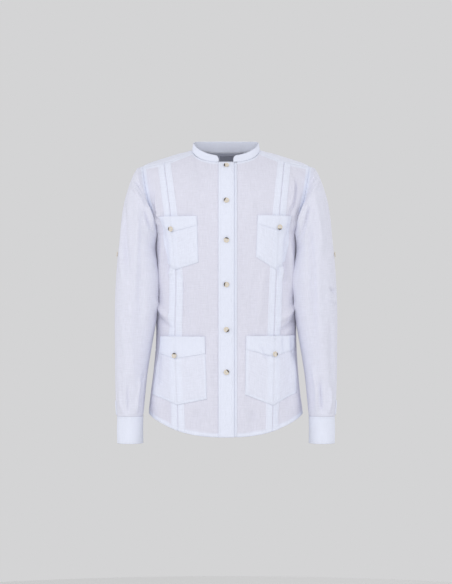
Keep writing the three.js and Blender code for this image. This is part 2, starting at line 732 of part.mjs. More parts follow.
// A point on a sleeve's section: ring counts down from the armhole, and the angle goes from the
// outer side round by the front.
function sectionPoint(side, ring, angle) {
  const rings = SLEEVE.map((row, k) => ({ ...row, k: k + 1 }));
  const value = (column) => along(rings, 'k', ring, column);
  const power = 2 / SLEEVE_SQUARENESS;
  const outwards = signedPower(Math.cos(angle), power) / 2;
  const x = (value('outerX') + value('innerX')) / 2 + (value('outerX') - value('innerX')) * outwards;
  const z = (value('outerZ') + value('innerZ')) / 2 + (value('outerZ') - value('innerZ')) * outwards;
  const y = value('y') - value('depth') * signedPower(Math.sin(angle), power);
  return new THREE.Vector3(SIGN[side] * Math.max(x, bodyClearance(side, y, z)), y, z);
}

// The least distance from the middle that keeps a sleeve's point clear of the body beside it.
function bodyClearance(side, y, z) {
  if (z > ARMHOLE.foot) return 0;
  const depth = along(BODY, 'z', z, y < 0 ? 'front' : 'back') + CLEAR_OF_BODY;
  const share = Math.min(1, Math.abs(y) / depth);
  return (halfWidth(side, z) + CLEAR_OF_BODY) * (1 - share ** SQUARENESS) ** (1 / SQUARENESS);
}

function sleeveRows(side) {
  const angles = Array.from({ length: ARMHOLE.steps }, (_, k) => (2 * Math.PI * k) / ARMHOLE.steps);
  const rings = SLEEVE.map((_, k) => angles.map((angle) => sectionPoint(side, k + 1, angle)));
  const first = angles.map((angle, k) => {
    const seam = armholePoint(side, k);
    const gap = mix(ARMHOLE_GAP.top, ARMHOLE_GAP.foot, (1 - Math.cos(angle)) / 2);
    return seam.clone().addScaledVector(between(seam, rings[0][k]).normalize(), gap);
  });
  return [first, ...rings].reverse();
}

for (const side of ['right', 'left']) {
  const rows = sleeveRows(side);
  add(`sleeve_${side}`, wall(rows, { thickness: CLOTH, closed: true, flip: side === 'left' }), LINEN);
}

// A point lifted off a sleeve at a height near its lower end.
function onSleeve(side, degrees, z, lift) {
  let low = 1;
  let high = SLEEVE.length;
  for (let pass = 0; pass < 30; pass += 1) {
    const middle = (low + high) / 2;
    if (sectionPoint(side, middle, degrees * DEGREE).z > z) low = middle;
    else high = middle;
  }
  const angle = degrees * DEGREE;
  const point = sectionPoint(side, low, angle);
  const round = between(sectionPoint(side, low, angle - 0.02), sectionPoint(side, low, angle + 0.02));
  const down = between(sectionPoint(side, low - 0.02, angle), sectionPoint(side, low + 0.02, angle));
  const out = round.cross(down).normalize().multiplyScalar(SIGN[side]);
  return { point: point.addScaledVector(out, lift), out };
}

for (const side of ['right', 'left']) {
  const lift = CLOTH / 2 + SLEEVE_PLACKET.gap + BAND_CLOTH / 2;
  const spans = 3;
  const rows = [];
  for (let j = 0; j <= spans; j += 1) {
    const z = mix(SLEEVE_PLACKET.foot, SLEEVE_PLACKET.top, j / spans);
    const row = [];
    for (let i = 0; i <= spans; i += 1) {
      const degrees = mix(SLEEVE_PLACKET.from, SLEEVE_PLACKET.to, i / spans);
      row.push(onSleeve(side, degrees, z, lift).point);
    }
    rows.push(row);
  }
  add(`sleeve_placket_${side}`, wall(rows, { thickness: BAND_CLOTH, flip: side === 'left' }), DOUBLED_LINEN);
}

// ---------------------------------------------------------------- cuffs

const CUFF_SPANS = 26;

function cuffPoint(side, degrees, z, lift = 0) {
  const under = 1 - smooth(-14, 14, degrees);
  const away = lift - CUFF_TUCK_IN * under;
  const power = 2 / SLEEVE_SQUARENESS;
  const angle = degrees * DEGREE;
  const x = CUFF.x + (CUFF.halfWidth + away) * signedPower(Math.cos(angle), power);
  const y = CUFF.y - (CUFF.depth + away) * signedPower(Math.sin(angle), power);
  return new THREE.Vector3(SIGN[side] * x, y, z);
}

for (const side of ['right', 'left']) {
  const spans = 2;
  const rows = [];
  for (let j = 0; j <= spans; j += 1) {
    const z = mix(CUFF.foot, CUFF.top, j / spans);
    const row = [];
    for (let i = 0; i <= CUFF_SPANS; i += 1) {
      row.push(cuffPoint(side, mix(CUFF_START, CUFF_END, i / CUFF_SPANS), z));
    }
    rows.push(row);
  }
  add(`cuff_${side}`, wall(rows, { thickness: DOUBLE_CLOTH, flip: side === 'left' }), DOUBLED_LINEN);
}

// ---------------------------------------------------------------- pockets

const POCKET_ROWS = 6;
const BAND_ROWS = 2;
const POCKET_LIFT = CLOTH / 2 + POCKET_GAP + POCKET_CLOTH / 2;

// How far a pocket stands off the front at x: more where it lies over the tucks.
function pocketLift(side, x, z) {
  const aside = Math.abs(x - groove(side, z));
  return POCKET_LIFT + TUCK.height * (1 - smooth(TUCK_REACH, TUCK_REACH + 3, aside));
}

// The columns of a pocket at one height: its two edges, the tucks' edges and a few between.
function pocketColumnsX(pocket, z) {
  const down = (z - pocket.top) / (pocket.inner - pocket.top);
  const inner = mix(pocket.innerTop, pocket.innerLow, down);
  const outer = mix(pocket.outerTop, pocket.outerLow, down);
  const line = groove(pocket.side, z);
  const nearTuck = line - TUCK_REACH - 3;
  const pastTuck = line + TUCK_REACH + 3;
  const edges = [nearTuck, line - TUCK_REACH, line, line + TUCK_REACH, pastTuck];
  const end = Math.max(outer, pastTuck + 4);
  return [inner, mix(inner, nearTuck, 0.5), ...edges, mix(pastTuck, end, 0.55), end];
}

const GROOVE_COLUMN = 4; // the pocket's column on the line of the tucks' groove

// The height of each column on a line across a pocket that comes to a point over the tucks' groove.
function pointedHeights(pocket, innerZ, pointZ, outerZ) {
  const columns = pocketColumnsX(pocket, pointZ);
  const inner = columns[0];
  const point = columns[GROOVE_COLUMN];
  const outer = columns[columns.length - 1];
  return columns.map((x, i) => {
    if (i <= GROOVE_COLUMN) return mix(innerZ, pointZ, (x - inner) / (point - inner));
    return mix(pointZ, outerZ, (x - point) / (outer - point));
  });
}

// Rows of points from a pointed lower edge up to the pocket's top.
function pocketPatch(pocket, rows, feet, lift) {
  const grid = [];
  for (let j = 0; j <= rows; j += 1) {
    grid.push(feet.map((foot, i) => {
      const z = mix(foot, pocket.top, j / rows);
      const x = pocketColumnsX(pocket, z)[i];
      return onFront(pocket.side, x, z, pocketLift(pocket.side, x, z) + lift);
    }));
  }
  return grid;
}

for (const pocket of POCKETS) {
  const flip = pocket.side === 'right';
  const feet = pointedHeights(pocket, pocket.inner, pocket.point, pocket.outer);
  const body = pocketPatch(pocket, POCKET_ROWS, feet, 0);
  add(`${pocket.name}_${pocket.side}`, wall(body, { thickness: POCKET_CLOTH, flip }), DOUBLED_LINEN);
  const side = pocket.top - pocket.bandSide;
  const bandFeet = pointedHeights(pocket, side, pocket.top - pocket.bandPoint, side);
  const band = pocketPatch(pocket, BAND_ROWS, bandFeet, POCKET_CLOTH / 2 + BAND_GAP + BAND_CLOTH / 2);
  add(`${pocket.name}_band_${pocket.side}`, wall(band, { thickness: BAND_CLOTH, flip }), DOUBLED_LINEN);
}

// ---------------------------------------------------------------- buttons

function buttonGeometry() {
  const { radius, thickness, dish } = BUTTON;
  const profile = [
    new THREE.Vector2(0, 0),
    new THREE.Vector2(radius * 0.82, 0),
    new THREE.Vector2(radius, thickness * 0.45),
    new THREE.Vector2(radius * 0.88, thickness),
    new THREE.Vector2(radius * 0.62, thickness - dish),
    new THREE.Vector2(0, thickness - dish),
  ];
  return new THREE.LatheGeometry(profile, 16);
}

function addButton(name, point, out) {
  const button = add(name, buttonGeometry(), HORN);
  button.quaternion.setFromUnitVectors(new THREE.Vector3(0, 1, 0), out);
  button.position.copy(point).addScaledVector(out, BUTTON.gap);
}

// The point and the way out at a place on the front, with the given lift.
function frontSpot(side, x, z, lift) {
  const point = onFront(side, x, z, lift);
  const out = between(onFront(side, x, z, lift - 1), point).normalize();
  return { point, out };
}

PLACKET_BUTTONS.forEach((z, k) => {
  const spot = frontSpot('left', PLACKET_BUTTON_X, z, PLACKET_LIFT + DOUBLE_CLOTH / 2);
  addButton(`button_front_${k + 1}`, spot.point, spot.out);
});

for (const pocket of POCKETS) {
  const z = pocket.top - pocket.button;
  const x = groove(pocket.side, z);
  const lift = pocketLift(pocket.side, x, z) + POCKET_CLOTH / 2 + BAND_GAP + BAND_CLOTH;
  const spot = frontSpot(pocket.side, x, z, lift);
  addButton(`button_${pocket.name}_${pocket.side}`, spot.point, spot.out);
}

for (const side of ['right', 'left']) {
  const spot = onSleeve(side, SLEEVE_BUTTON.angle, SLEEVE_BUTTON.z, CLOTH / 2);
  addButton(`button_sleeve_${side}`, spot.point, spot.out);
  const at = cuffPoint(side, CUFF_BUTTON.angle + 360, CUFF_BUTTON.z, DOUBLE_CLOTH / 2);
  const under = cuffPoint(side, CUFF_BUTTON.angle + 360, CUFF_BUTTON.z, DOUBLE_CLOTH / 2 - 1);
  addButton(`button_cuff_${side}`, at, between(under, at).normalize());
}

export default shirt;
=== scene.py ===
# %% [markdown]
# A guayabera is a linen shirt with four pockets and rows of pressed tucks down its fronts. This lesson
# builds one in its worn shape, empty, with its neck, cuffs and hem open. Every panel could be one block
# that is carved, but real cloth is a thin sheet, so each panel here is a grid that is laid on the shirt's
# form, given its folds and then a thin wall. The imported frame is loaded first, because every piece has to
# sit where its solid does.

# %% The frame and the tools
import json
import math

import bmesh
import bpy
import numpy as np
from mathutils import Matrix, Vector

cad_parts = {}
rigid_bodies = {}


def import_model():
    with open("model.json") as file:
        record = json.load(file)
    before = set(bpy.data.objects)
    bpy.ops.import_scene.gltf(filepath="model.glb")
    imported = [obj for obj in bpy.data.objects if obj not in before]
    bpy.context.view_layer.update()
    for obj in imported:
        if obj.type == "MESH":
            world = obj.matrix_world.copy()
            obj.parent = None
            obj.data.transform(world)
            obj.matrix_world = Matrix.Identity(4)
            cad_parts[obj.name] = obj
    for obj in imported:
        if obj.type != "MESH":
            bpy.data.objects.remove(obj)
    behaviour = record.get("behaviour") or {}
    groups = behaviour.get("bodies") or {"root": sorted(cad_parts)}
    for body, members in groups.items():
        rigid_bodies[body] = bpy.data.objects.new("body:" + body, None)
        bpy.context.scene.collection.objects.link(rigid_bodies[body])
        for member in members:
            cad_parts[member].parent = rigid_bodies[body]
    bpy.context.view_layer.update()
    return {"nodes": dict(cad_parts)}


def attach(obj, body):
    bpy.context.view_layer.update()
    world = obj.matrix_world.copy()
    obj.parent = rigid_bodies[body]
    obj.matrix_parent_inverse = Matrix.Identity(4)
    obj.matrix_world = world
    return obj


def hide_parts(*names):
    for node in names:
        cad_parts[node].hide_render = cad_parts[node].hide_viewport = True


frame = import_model()
MM = 0.001  # sizes below are millimetres, and Blender's are metres
print("solids in the frame:", len(frame["nodes"]))

# %% [markdown]
# A pattern cutter works from a few measures at a few heights and draws smooth curves through them. The
# same is done here: a short table with named columns holds the measures, and along() reads any place
# between them.

# %% Curves from short tables


def table(names, *rows):
    """A short table with named columns."""
    return {name: np.array([row[k] for row in rows], float) for k, name in enumerate(names.split())}


def along(rows, key, at, column):
    """One column of a table at any places between its rows, on a smooth curve through them."""
    keys = rows[key]
    values = rows[column]
    last = len(keys) - 1
    place = np.clip(at, keys[0], keys[-1])
    i = np.clip(np.searchsorted(keys, place, side="left") - 1, 0, last - 1)
    after = np.minimum(np.arange(last + 1) + 1, last)
    before = np.maximum(np.arange(last + 1) - 1, 0)
    slopes = (values[after] - values[before]) / (keys[after] - keys[before])
    step = keys[i + 1] - keys[i]
    t = (place - keys[i]) / step
    start = values[i] * (1 + 2 * t) * (1 - t) ** 2
    end = values[i + 1] * t * t * (3 - 2 * t)
    bend = slopes[i] * t * (1 - t) ** 2 - slopes[i + 1] * t * t * (1 - t)
    return start + end + bend * step


def mix(a, b, share):
    return a + (b - a) * share


def smooth(start, end, at):
    share = np.clip((at - start) / (end - start), 0, 1)
    return share * share * (3 - 2 * share)


def signed_power(value, power):
    return np.sign(value) * np.abs(value) ** power


def unit(vectors):
    length = np.linalg.norm(vectors, axis=-1, keepdims=True)
    return vectors / np.maximum(length, 1e-9)


# %% [markdown]
# The body's form is the shape that the cloth takes on a general figure: rounded plans that widen to the
# hem, and two domes, for the chest and the shoulder blades, that meet at the shoulders' crest. The
# measures are the same as the solids', so that each sheet starts inside the wall that it stands for.

# %% Measures of the body
BODY = table(
    "z right left front back",
    (-660, 178, 178, 110, 104),
    (-605, 177, 176, 110, 103),
    (-560, 172.5, 170, 108, 101),
    (-500, 165, 164.5, 104, 97),
    (-430, 160, 161, 101, 91),
    (-330, 162, 162, 107, 91),
    (-250, 165, 165, 113, 96),
    (-197, 168, 168, 115, 100),
    (-178, 177, 177, 115, 100),
    (-160, 184, 184, 115, 100),
    (-138, 191, 191, 115, 99),
    (-115, 198, 198, 115, 97),
    (-80, 203, 203, 115, 95),
    (10, 205, 205, 115, 92),
)
CREST = table(
    "x front back", (0, -5, 10.6), (45, -5, 8), (77, 3, 3), (94, -3, -3), (110, -9, -9),
    (133, -16.5, -16.5), (175, -30, -30), (191, -38, -38), (206, -46, -46),
)
CREST_Y = 2
DOME_FOOT = -200
DOME = {"front": (2, 1.8), "back": (4, 1.8)}  # how fast each dome rises, and how round it is
SQUARENESS = 2.3

NECK_HALF_WIDTH = 77
NECK_HALF_DEPTH = 49
NECK_Y = -5
NECK_SQUARENESS = 2.4
NECK_HEIGHT = table("y z", (-54, -32.5), (-38, -21.4), (-20, -8.3), (-8, 0), (6, 3), (22, 1.5), (44, -4))
YOKE_MEETS_NECK = 75
NECK_EASE_OUT = 40
NECK_EASE_DOWN = 70
SHOULDER_SEAM = table("x z", (75, -8.5), (100, -19), (128, -30), (160, -37), (190.4, -41.9))

ARMHOLE_TOP = -38
ARMHOLE_FOOT = -197
ARMHOLE_STEPS = 20
FRONT_SEAM_STEP = 1
BACK_SEAM_STEP = 4
ARMHOLE_WIDTH = table(
    "z x", (-197, 168), (-193, 167.6), (-178, 167.4), (-160, 169), (-138, 172), (-115, 178), (-80, 185),
    (-55, 189), (-38, 191),
)
HEM_SIDE = -605
HEM_DROP = 48.5
HEM_HALF_WIDTH = 177
HEM_CURVE = 2.6

SIGN = {"right": -1, "left": 1}
OTHER = {"right": "left", "left": "right"}

# %% The body's surfaces


def half_width(side, z):
    return along(BODY, "z", z, side)


def plan_share(side, x, z):
    across = np.minimum(1, x / half_width(side, z))
    return (1 - across**SQUARENESS) ** (1 / SQUARENESS)


def dome_share(face, x, z):
    crest = along(CREST, "x", x, face)
    rise, roundness = DOME[face]
    height = np.clip((z - DOME_FOOT) / (crest - DOME_FOOT), 0, 1)
    return (1 - height**rise) ** (1 / roundness)


def plain_front_y(side, x, z):
    depth = along(BODY, "z", z, "front") * plan_share(side, x, z)
    return CREST_Y - (depth + CREST_Y) * dome_share("front", x, z)


def back_y(side, x, z):
    depth = along(BODY, "z", z, "back") * plan_share(side, x, z)
    return CREST_Y + (depth - CREST_Y) * dome_share("back", x, z)


def neck_point(angle):
    """The neck seam's x, y and z at an angle from the middle of the front, on the left."""
    power = 2 / NECK_SQUARENESS
    x = NECK_HALF_WIDTH * signed_power(np.sin(angle), power)
    y = NECK_Y - NECK_HALF_DEPTH * signed_power(np.cos(angle), power)
    return x, y, along(NECK_HEIGHT, "y", y, "z")


def neck_angle(x):
    return np.arcsin((x / NECK_HALF_WIDTH) ** (NECK_SQUARENESS / 2))


def front_top(x):
    """Height of a front's upper edge: the neck seam, then the shoulder seam."""
    neck = neck_point(neck_angle(np.clip(x, 0, YOKE_MEETS_NECK)))[2]
    return np.where(x < YOKE_MEETS_NECK, neck, along(SHOULDER_SEAM, "x", x, "z"))


def front_y(side, x, z):
    edge_x = np.clip(x, 0, YOKE_MEETS_NECK)
    _, edge_y, edge_z = neck_point(neck_angle(edge_x))
    miss = edge_y - plain_front_y(side, edge_x, edge_z)
    outwards = 1 - smooth(YOKE_MEETS_NECK, YOKE_MEETS_NECK + NECK_EASE_OUT, x)
    upwards = smooth(edge_z - NECK_EASE_DOWN, edge_z, z)
    return plain_front_y(side, x, z) + miss * outwards * upwards


def front_surface(side, x, z):
    own = front_y(side, np.abs(x), z)
    across = front_y(OTHER[side], np.abs(x), z)
    return np.where(x < 0, across, own)


def on_front(side, x, z):
    """Points on a front and their ways out; a negative x lies over on the other front."""
    x, z = np.broadcast_arrays(np.asarray(x, float), np.asarray(z, float))
    step = 0.5
    slope_x = (front_surface(side, x + step, z) - front_surface(side, x - step, z)) / (2 * step)
    slope_z = (front_surface(side, x, z + step) - front_surface(side, x, z - step)) / (2 * step)
    out = unit(np.stack([slope_x * SIGN[side], -np.ones_like(x), slope_z], axis=-1))
    points = np.stack([x * SIGN[side], front_surface(side, x, z), z], axis=-1)
    return points, out


def hem_height(x):
    across = np.minimum(1, np.abs(x) / HEM_HALF_WIDTH)
    return HEM_SIDE - HEM_DROP * (1 - across**HEM_CURVE)


def armhole_height(step):
    middle = (ARMHOLE_TOP + ARMHOLE_FOOT) / 2
    return middle + (ARMHOLE_TOP - ARMHOLE_FOOT) / 2 * np.cos(2 * np.pi * step / ARMHOLE_STEPS)


def armhole_point(side, step):
    """Points of the armhole: forwards from the shoulder, under the arm and up behind."""
    step = np.asarray(step, float) % ARMHOLE_STEPS
    z = armhole_height(step)
    x = along(ARMHOLE_WIDTH, "z", z, "x")
    y = np.where(step <= ARMHOLE_STEPS / 2, front_y(side, x, z), back_y(side, x, z))
    return np.stack([SIGN[side] * x, y, z], axis=-1)


def plan_angle(side, x, z):
    return np.arcsin(np.minimum(1, x / half_width(side, z)) ** (SQUARENESS / 2))


def plan_x(side, angle, z):
    return half_width(side, z) * np.sin(angle) ** (2 / SQUARENESS)


def edge_x(side, z):
    """Where a front's or a back's edge at the arm lies: on the side seam, then on the armhole."""
    return np.where(z <= ARMHOLE_FOOT, half_width(side, z), along(ARMHOLE_WIDTH, "z", z, "x"))


print("chest half width and depth:", float(half_width("left", -197.0)), float(-front_y("left", 0.0, -197.0)))

# %% [markdown]
# Folds make cloth look like cloth. A simulation could find them, but a worn shirt's folds come from a
# body that isn't here, so they are listed one by one instead. Each row below is one fold, as a soft ridge
# (or a trough, with a negative height) between two places seen from the front or from behind, with its
# own width, height and bow. All panels read the same folds, so that a fold runs on across a seam and
# through a pocket.

# %% Folds, by place on the shirt
FRONT_FOLDS = table(
    "x1 z1 x2 z2 bow width height",
    # the wearer's right sleeve
    (-233, -105, -219, -300, 4, 7, -3.2),
    (-241, -120, -232, -330, 3, 6, 1.8),
    (-203, -95, -206, -330, -6, 11, 2.6),
    (-190, -150, -190, -420, 5, 9, -2.4),
    (-215, -330, -206, -560, 5, 12, 2.0),
    (-236, -380, -228, -575, -4, 9, 1.6),
    (-184, -505, -195, -604, 4, 5, -3.4),
    (-196, -520, -205, -604, -3, 5, 2.6),
    (-222, -535, -219, -606, 2, 4.5, -2.0),
    (-240, -545, -234, -604, 2, 4.5, 1.8),
    (-176, -120, -152, -176, 5, 5, 2.8),
    (-186, -128, -164, -196, 4, 4.5, -2.6),
    (-211, -72, -170, -140, -5, 3.6, -2.6),
    (-217, -84, -180, -152, -5, 4.6, 2.2),
    # the wearer's left sleeve
    (212, -58, 236, -170, -7, 6, -3.4),
    (220, -60, 244, -190, -8, 6, 2.4),
    (196, -95, 214, -260, -5, 10, 2.4),
    (184, -160, 196, -430, -5, 10, -2.6),
    (208, -260, 226, -520, 6, 13, 2.4),
    (234, -318, 255, -338, -3, 4.5, -3.2),
    (228, -336, 252, -352, 3, 5, 2.4),
    (238, -380, 246, -560, 3, 8, -2.0),
    (196, -500, 206, -604, -4, 5.5, 2.6),
    (213, -520, 218, -606, 2, 5, -2.4),
    (236, -540, 232, -606, -2, 4.5, 2.2),
    (176, -112, 156, -180, -4, 5, 2.8),
    (188, -124, 166, -205, -4, 5, -2.8),
    (209, -62, 171, -128, 5, 3.6, -2.6),
    (216, -72, 180, -142, 5, 4.6, 2.2),
    # the fronts beside the armholes and under the arms
    (-158, -96, -146, -170, 4, 5, 2.2),
    (-166, -128, -150, -152, 2, 3, -2.0),
    (-158, -138, -150, -160, 1, 2.6, 1.8),
    (-150, -150, -138, -300, -6, 9, -3.6),
    (-136, -170, -146, -330, 5, 8, 1.8),
    (159, -62, 146, -152, -5, 4.5, -2.6),
    (152, -70, 141, -140, -4, 4.5, 2.0),
    (150, -140, 139, -316, 6, 9, -4.0),
    (137, -180, 150, -340, -5, 8, 2.2),
    # the chest, softly pulled from the neck and the pockets
    (-58, -60, -74, -150, 5, 12, 1.4),
    (-36, -80, -40, -250, 4, 12, -1.2),
    (44, -70, 58, -170, -5, 12, 1.3),
    (34, -180, 52, -400, 6, 15, -1.4),
    (-60, -270, -48, -440, -5, 14, 1.5),
    (92, -268, 78, -400, 5, 12, 1.6),
    (-100, -282, -92, -420, -4, 9, -1.6),
    (62, -300, 66, -420, 4, 10, -1.2),
    # the waist
    (-160, -345, -128, -388, 4, 7, 2.4),
    (-158, -378, -122, -412, 3, 7, -2.2),
    (158, -352, 124, -392, -4, 7, 2.6),
    (160, -384, 120, -420, -3, 7, -2.4),
    # the hips and the hem
    (-36, -430, -30, -640, 4, 16, 2.2),
    (-64, -590, -70, -650, 2, 12, -1.8),
    (-150, -470, -158, -612, 4, 12, 2.6),
    (-128, -575, -136, -628, 2, 9, -2.0),
    (30, -440, 38, -645, -4, 14, 1.8),
    (62, -588, 66, -650, 2, 11, -1.8),
    (146, -470, 158, -612, -4, 12, 2.6),
    (116, -580, 126, -636, 2, 9, -2.0),
    # small creases in and beside the pockets
    (78, -448, 98, -480, 3, 4, -1.5),
    (86, -440, 108, -470, 3, 4, 1.3),
    (126, -428, 132, -470, 1, 3, -1.3),
    (137, -427, 142, -466, 1, 3, 1.3),
    (147, -428, 151, -476, 1, 3, -1.4),
    (-120, -262, -128, -292, 1, 4, 2.0),
    (-112, -270, -104, -300, 1, 4, -1.6),
    (118, -262, 122, -296, 1, 4, -1.8),
    (128, -266, 134, -300, 1, 4, 2.2),
    (-146, -470, -152, -545, 2, 6, -2.0),
)
BACK_FOLDS = table(
    "x1 z1 x2 z2 bow width height",
    # the wearer's right sleeve
    (-232, -110, -212, -330, 5, 9, -3.0),
    (-216, -100, -190, -280, 6, 10, 2.8),
    (-190, -130, -176, -240, 4, 7, -2.6),
    (-236, -330, -204, -372, 4, 6, 2.8),
    (-238, -352, -206, -396, 3, 6, -2.8),
    (-216, -400, -226, -575, -4, 10, 2.2),
    (-240, -430, -238, -590, 3, 8, -1.8),
    (-200, -520, -206, -604, 3, 5, -2.8),
    (-222, -540, -220, -606, -2, 5, 2.4),
    # the wearer's left sleeve
    (230, -105, 214, -300, -5, 9, -2.8),
    (214, -96, 192, -260, -6, 10, 2.6),
    (188, -136, 174, -250, -4, 7, -2.6),
    (238, -322, 202, -360, -4, 6, 2.8),
    (240, -346, 204, -384, -3, 6, -2.6),
    (214, -410, 228, -570, 4, 10, 2.4),
    (242, -420, 236, -592, -3, 8, -1.8),
    (204, -524, 200, -604, -3, 5, -2.6),
    (224, -536, 222, -606, 2, 5, 2.4),
    # the back
    (-150, -120, -112, -300, 8, 11, 3.2),
    (-162, -160, -136, -330, 6, 8, -3.0),
    (148, -118, 116, -290, -8, 11, 3.0),
    (162, -164, 138, -340, -6, 8, -3.2),
    (-60, -130, -52, -360, 5, 16, 2.4),
    (58, -140, 66, -350, -5, 16, 2.2),
    (4, -110, -4, -300, 3, 15, -1.8),
    (-150, -352, -70, -384, 6, 8, 2.6),
    (-154, -382, -58, -412, 5, 8, -2.6),
    (150, -344, 76, -378, -6, 8, 2.6),
    (156, -376, 64, -404, -5, 8, -2.4),
    (-40, -396, 36, -404, 4, 9, 1.8),
    (-110, -430, -122, -622, -4, 15, 3.0),
    (-70, -440, -66, -640, 3, 15, -2.4),
    (-16, -450, -10, -648, 3, 17, 2.6),
    (48, -445, 52, -642, -3, 15, -2.4),
    (98, -430, 112, -626, 4, 15, 3.0),
    (142, -480, 150, -615, 3, 11, -2.2),
    (-148, -480, -154, -615, -3, 11, 2.2),
    # the yoke
    (-92, -20, -116, -70, 4, 9, 1.2),
    (90, -18, 118, -72, -4, 9, 1.2),
)

FOLD_DEPTH = 2.4
FOLD_WIDTHS = (0.64, 1.0)  # a fold's width at its two ends, as shares of the table's
FOLD_BEGINS = (-0.1, 0.3)  # where along its line a fold rises from the cloth, and where it sinks again
FOLD_ENDS = (1.1, 0.7)
FOLD_FACING = (0.05, 0.55)  # cloth that faces sideways has no folds of either table


def fold_height(folds, x, z):
    """How far the cloth stands out at places seen from one side."""
    total = np.zeros_like(x)
    for k in range(len(folds["x1"])):
        fold = {name: column[k] for name, column in folds.items()}
        run = np.array([fold["x2"] - fold["x1"], fold["z2"] - fold["z1"]])
        length = np.hypot(*run)
        run = run / length
        t = ((x - fold["x1"]) * run[0] + (z - fold["z1"]) * run[1]) / length
        aside = (x - fold["x1"]) * run[1] - (z - fold["z1"]) * run[0]
        aside = aside - fold["bow"] * 4 * t * (1 - t)
        width = fold["width"] * mix(*FOLD_WIDTHS, np.clip(t, 0, 1))
        ends = smooth(*FOLD_BEGINS, t) * smooth(*FOLD_ENDS, t)
        total += fold["height"] * ends * np.exp(-((aside / width) ** 2))
    return total


def fold_cloth(points, out, share=1.0):
    """Moves points out of the cloth by its folds, those of the side that they face."""
    x = points[..., 0]
    z = points[..., 2]
    front = smooth(*FOLD_FACING, -out[..., 1]) * fold_height(FRONT_FOLDS, x, z)
    back = smooth(*FOLD_FACING, out[..., 1]) * fold_height(BACK_FOLDS, x, z)
    return points + out * ((front + back) * share * FOLD_DEPTH)[..., None]


print("folds placed by hand:", len(FRONT_FOLDS["x1"]) + len(BACK_FOLDS["x1"]))

# %% [markdown]
# A panel could be extruded or sculpted. A grid is better for cloth: its rows and columns run with the
# threads, so the same grid gives the weave its directions. Each point of the grid goes to its place on
# the shirt, and a Solidify modifier then gives the sheet a thin wall. The cloth's own flat place is kept
# as a UV map in millimetres, and an attribute holds how many layers lie there. Doubled linen is painted
# whiter than single: partly its own, as doubled cloth is more opaque, and partly painted shade, the dark
# hollow inside the shirt showing through one sheer layer.

# %% A sheet of cloth from a grid
SINGLE = 0.55  # wall of one layer of linen, a little over its real thickness
DOUBLED = 1.1
WELD = 0.02  # points this close are joined where a tube's two edges meet


def new_piece(name, bm, material=None):
    """An object in the scene from a bmesh."""
    mesh = bpy.data.meshes.new(name)
    bm.to_mesh(mesh)
    bm.free()
    piece = bpy.data.objects.new(name, mesh)
    bpy.context.scene.collection.objects.link(piece)
    if material:
        mesh.materials.append(material)
    return piece


def spread_counts(*counts):
    """Places from 0 up, one span to each count, with that many steps in each span."""
    places = [np.linspace(k, k + 1, count, endpoint=False) for k, count in enumerate(counts)]
    return np.append(np.concatenate(places), len(counts))


def ways_out(points, flip):
    """The way out of a grid of points, from its neighbours along and across."""
    across = np.gradient(points, axis=1)
    up = np.gradient(points, axis=0)
    return unit(np.cross(across, up)) * (-1 if flip else 1)


def flat_place(points, row, column):
    """Each point's place on the cut cloth, counted along its threads from one row and column."""
    across = np.linalg.norm(np.diff(points, axis=1), axis=-1)
    across = np.concatenate([np.zeros((len(points), 1)), np.cumsum(across, axis=1)], axis=1)
    up = np.linalg.norm(np.diff(points, axis=0), axis=-1)
    up = np.concatenate([np.zeros((1, points.shape[1])), np.cumsum(up, axis=0)], axis=0)
    return np.stack([across - across[:, column : column + 1], up - up[row : row + 1]], axis=-1)


sheets = {}  # each sheet's grid, for its stitches


def add_sheet(name, points, cut, layers, thickness, material, flip=False, closed=False):
    """A piece of cloth: a grid shaped by the points, in rows from the bottom up, with its thin wall."""
    sheets[name] = (points, cut, ways_out(points, flip), thickness)
    rows, columns = points.shape[:2]
    bm = bmesh.new()
    flat_map = bm.loops.layers.uv.new("cloth")
    layer_count = bm.verts.layers.float.new("layers")
    bmesh.ops.create_grid(bm, x_segments=columns - 1, y_segments=rows - 1, size=0.5)
    place = {}
    for vert in bm.verts:
        column = round((vert.co.x + 0.5) * (columns - 1))
        row = round((vert.co.y + 0.5) * (rows - 1))
        place[vert] = (row, column)
    for vert, (row, column) in place.items():
        vert.co = Vector(points[row, column]) * MM
        vert[layer_count] = layers[row, column]
    for face in bm.faces:
        for loop in face.loops:
            loop[flat_map].uv = cut[place[loop.vert]]
    if flip:
        bmesh.ops.reverse_faces(bm, faces=bm.faces)
    if closed:
        bmesh.ops.remove_doubles(bm, verts=bm.verts, dist=WELD * MM)
    for face in bm.faces:
        face.smooth = True
    piece = new_piece(f"cloth_{name}", bm, material)
    wall = piece.modifiers.new("wall", "SOLIDIFY")
    wall.thickness = thickness * MM
    wall.offset = 0
    print(name, "faces:", len(piece.data.polygons))


def add_band(name, points, thickness, material, flip=False, row=0):
    """A narrow piece of cloth that is doubled all over."""
    cut = flat_place(points, row, 0)
    add_sheet(name, points, cut, np.ones(cut.shape[:2]), thickness, material, flip)


def between_columns(columns, place):
    """Values at places counted in columns, from one value for each whole column."""
    columns = np.stack(np.broadcast_arrays(*columns))
    place = np.broadcast_to(place, columns.shape[1:])
    k = np.clip(np.floor(place).astype(int), 0, len(columns) - 2)
    near = np.take_along_axis(columns, k[None], axis=0)[0]
    far = np.take_along_axis(columns, k[None] + 1, axis=0)[0]
    return mix(near, far, place - k)


# %% [markdown]
# Linen is spun from long flax fibres of uneven thickness, so its threads carry slubs: longer thick places
# that run along the warp and the weft. The finish starts from a matt dielectric with a little sheen, adds
# slub streaks in both thread directions, and a plain weave as bump. Real threads lie 0.45 mm apart; the
# weave is drawn twice as coarse, because finer than that it wouldn't show.

# %% Helpers for finishes


def linear(code):
    """An sRGB hex colour as linear RGBA."""
    parts = [int(code[k : k + 2], 16) / 255 for k in (0, 2, 4)]
    return [p / 12.92 if p <= 0.04045 else ((p + 0.055) / 1.055) ** 2.4 for p in parts] + [1]


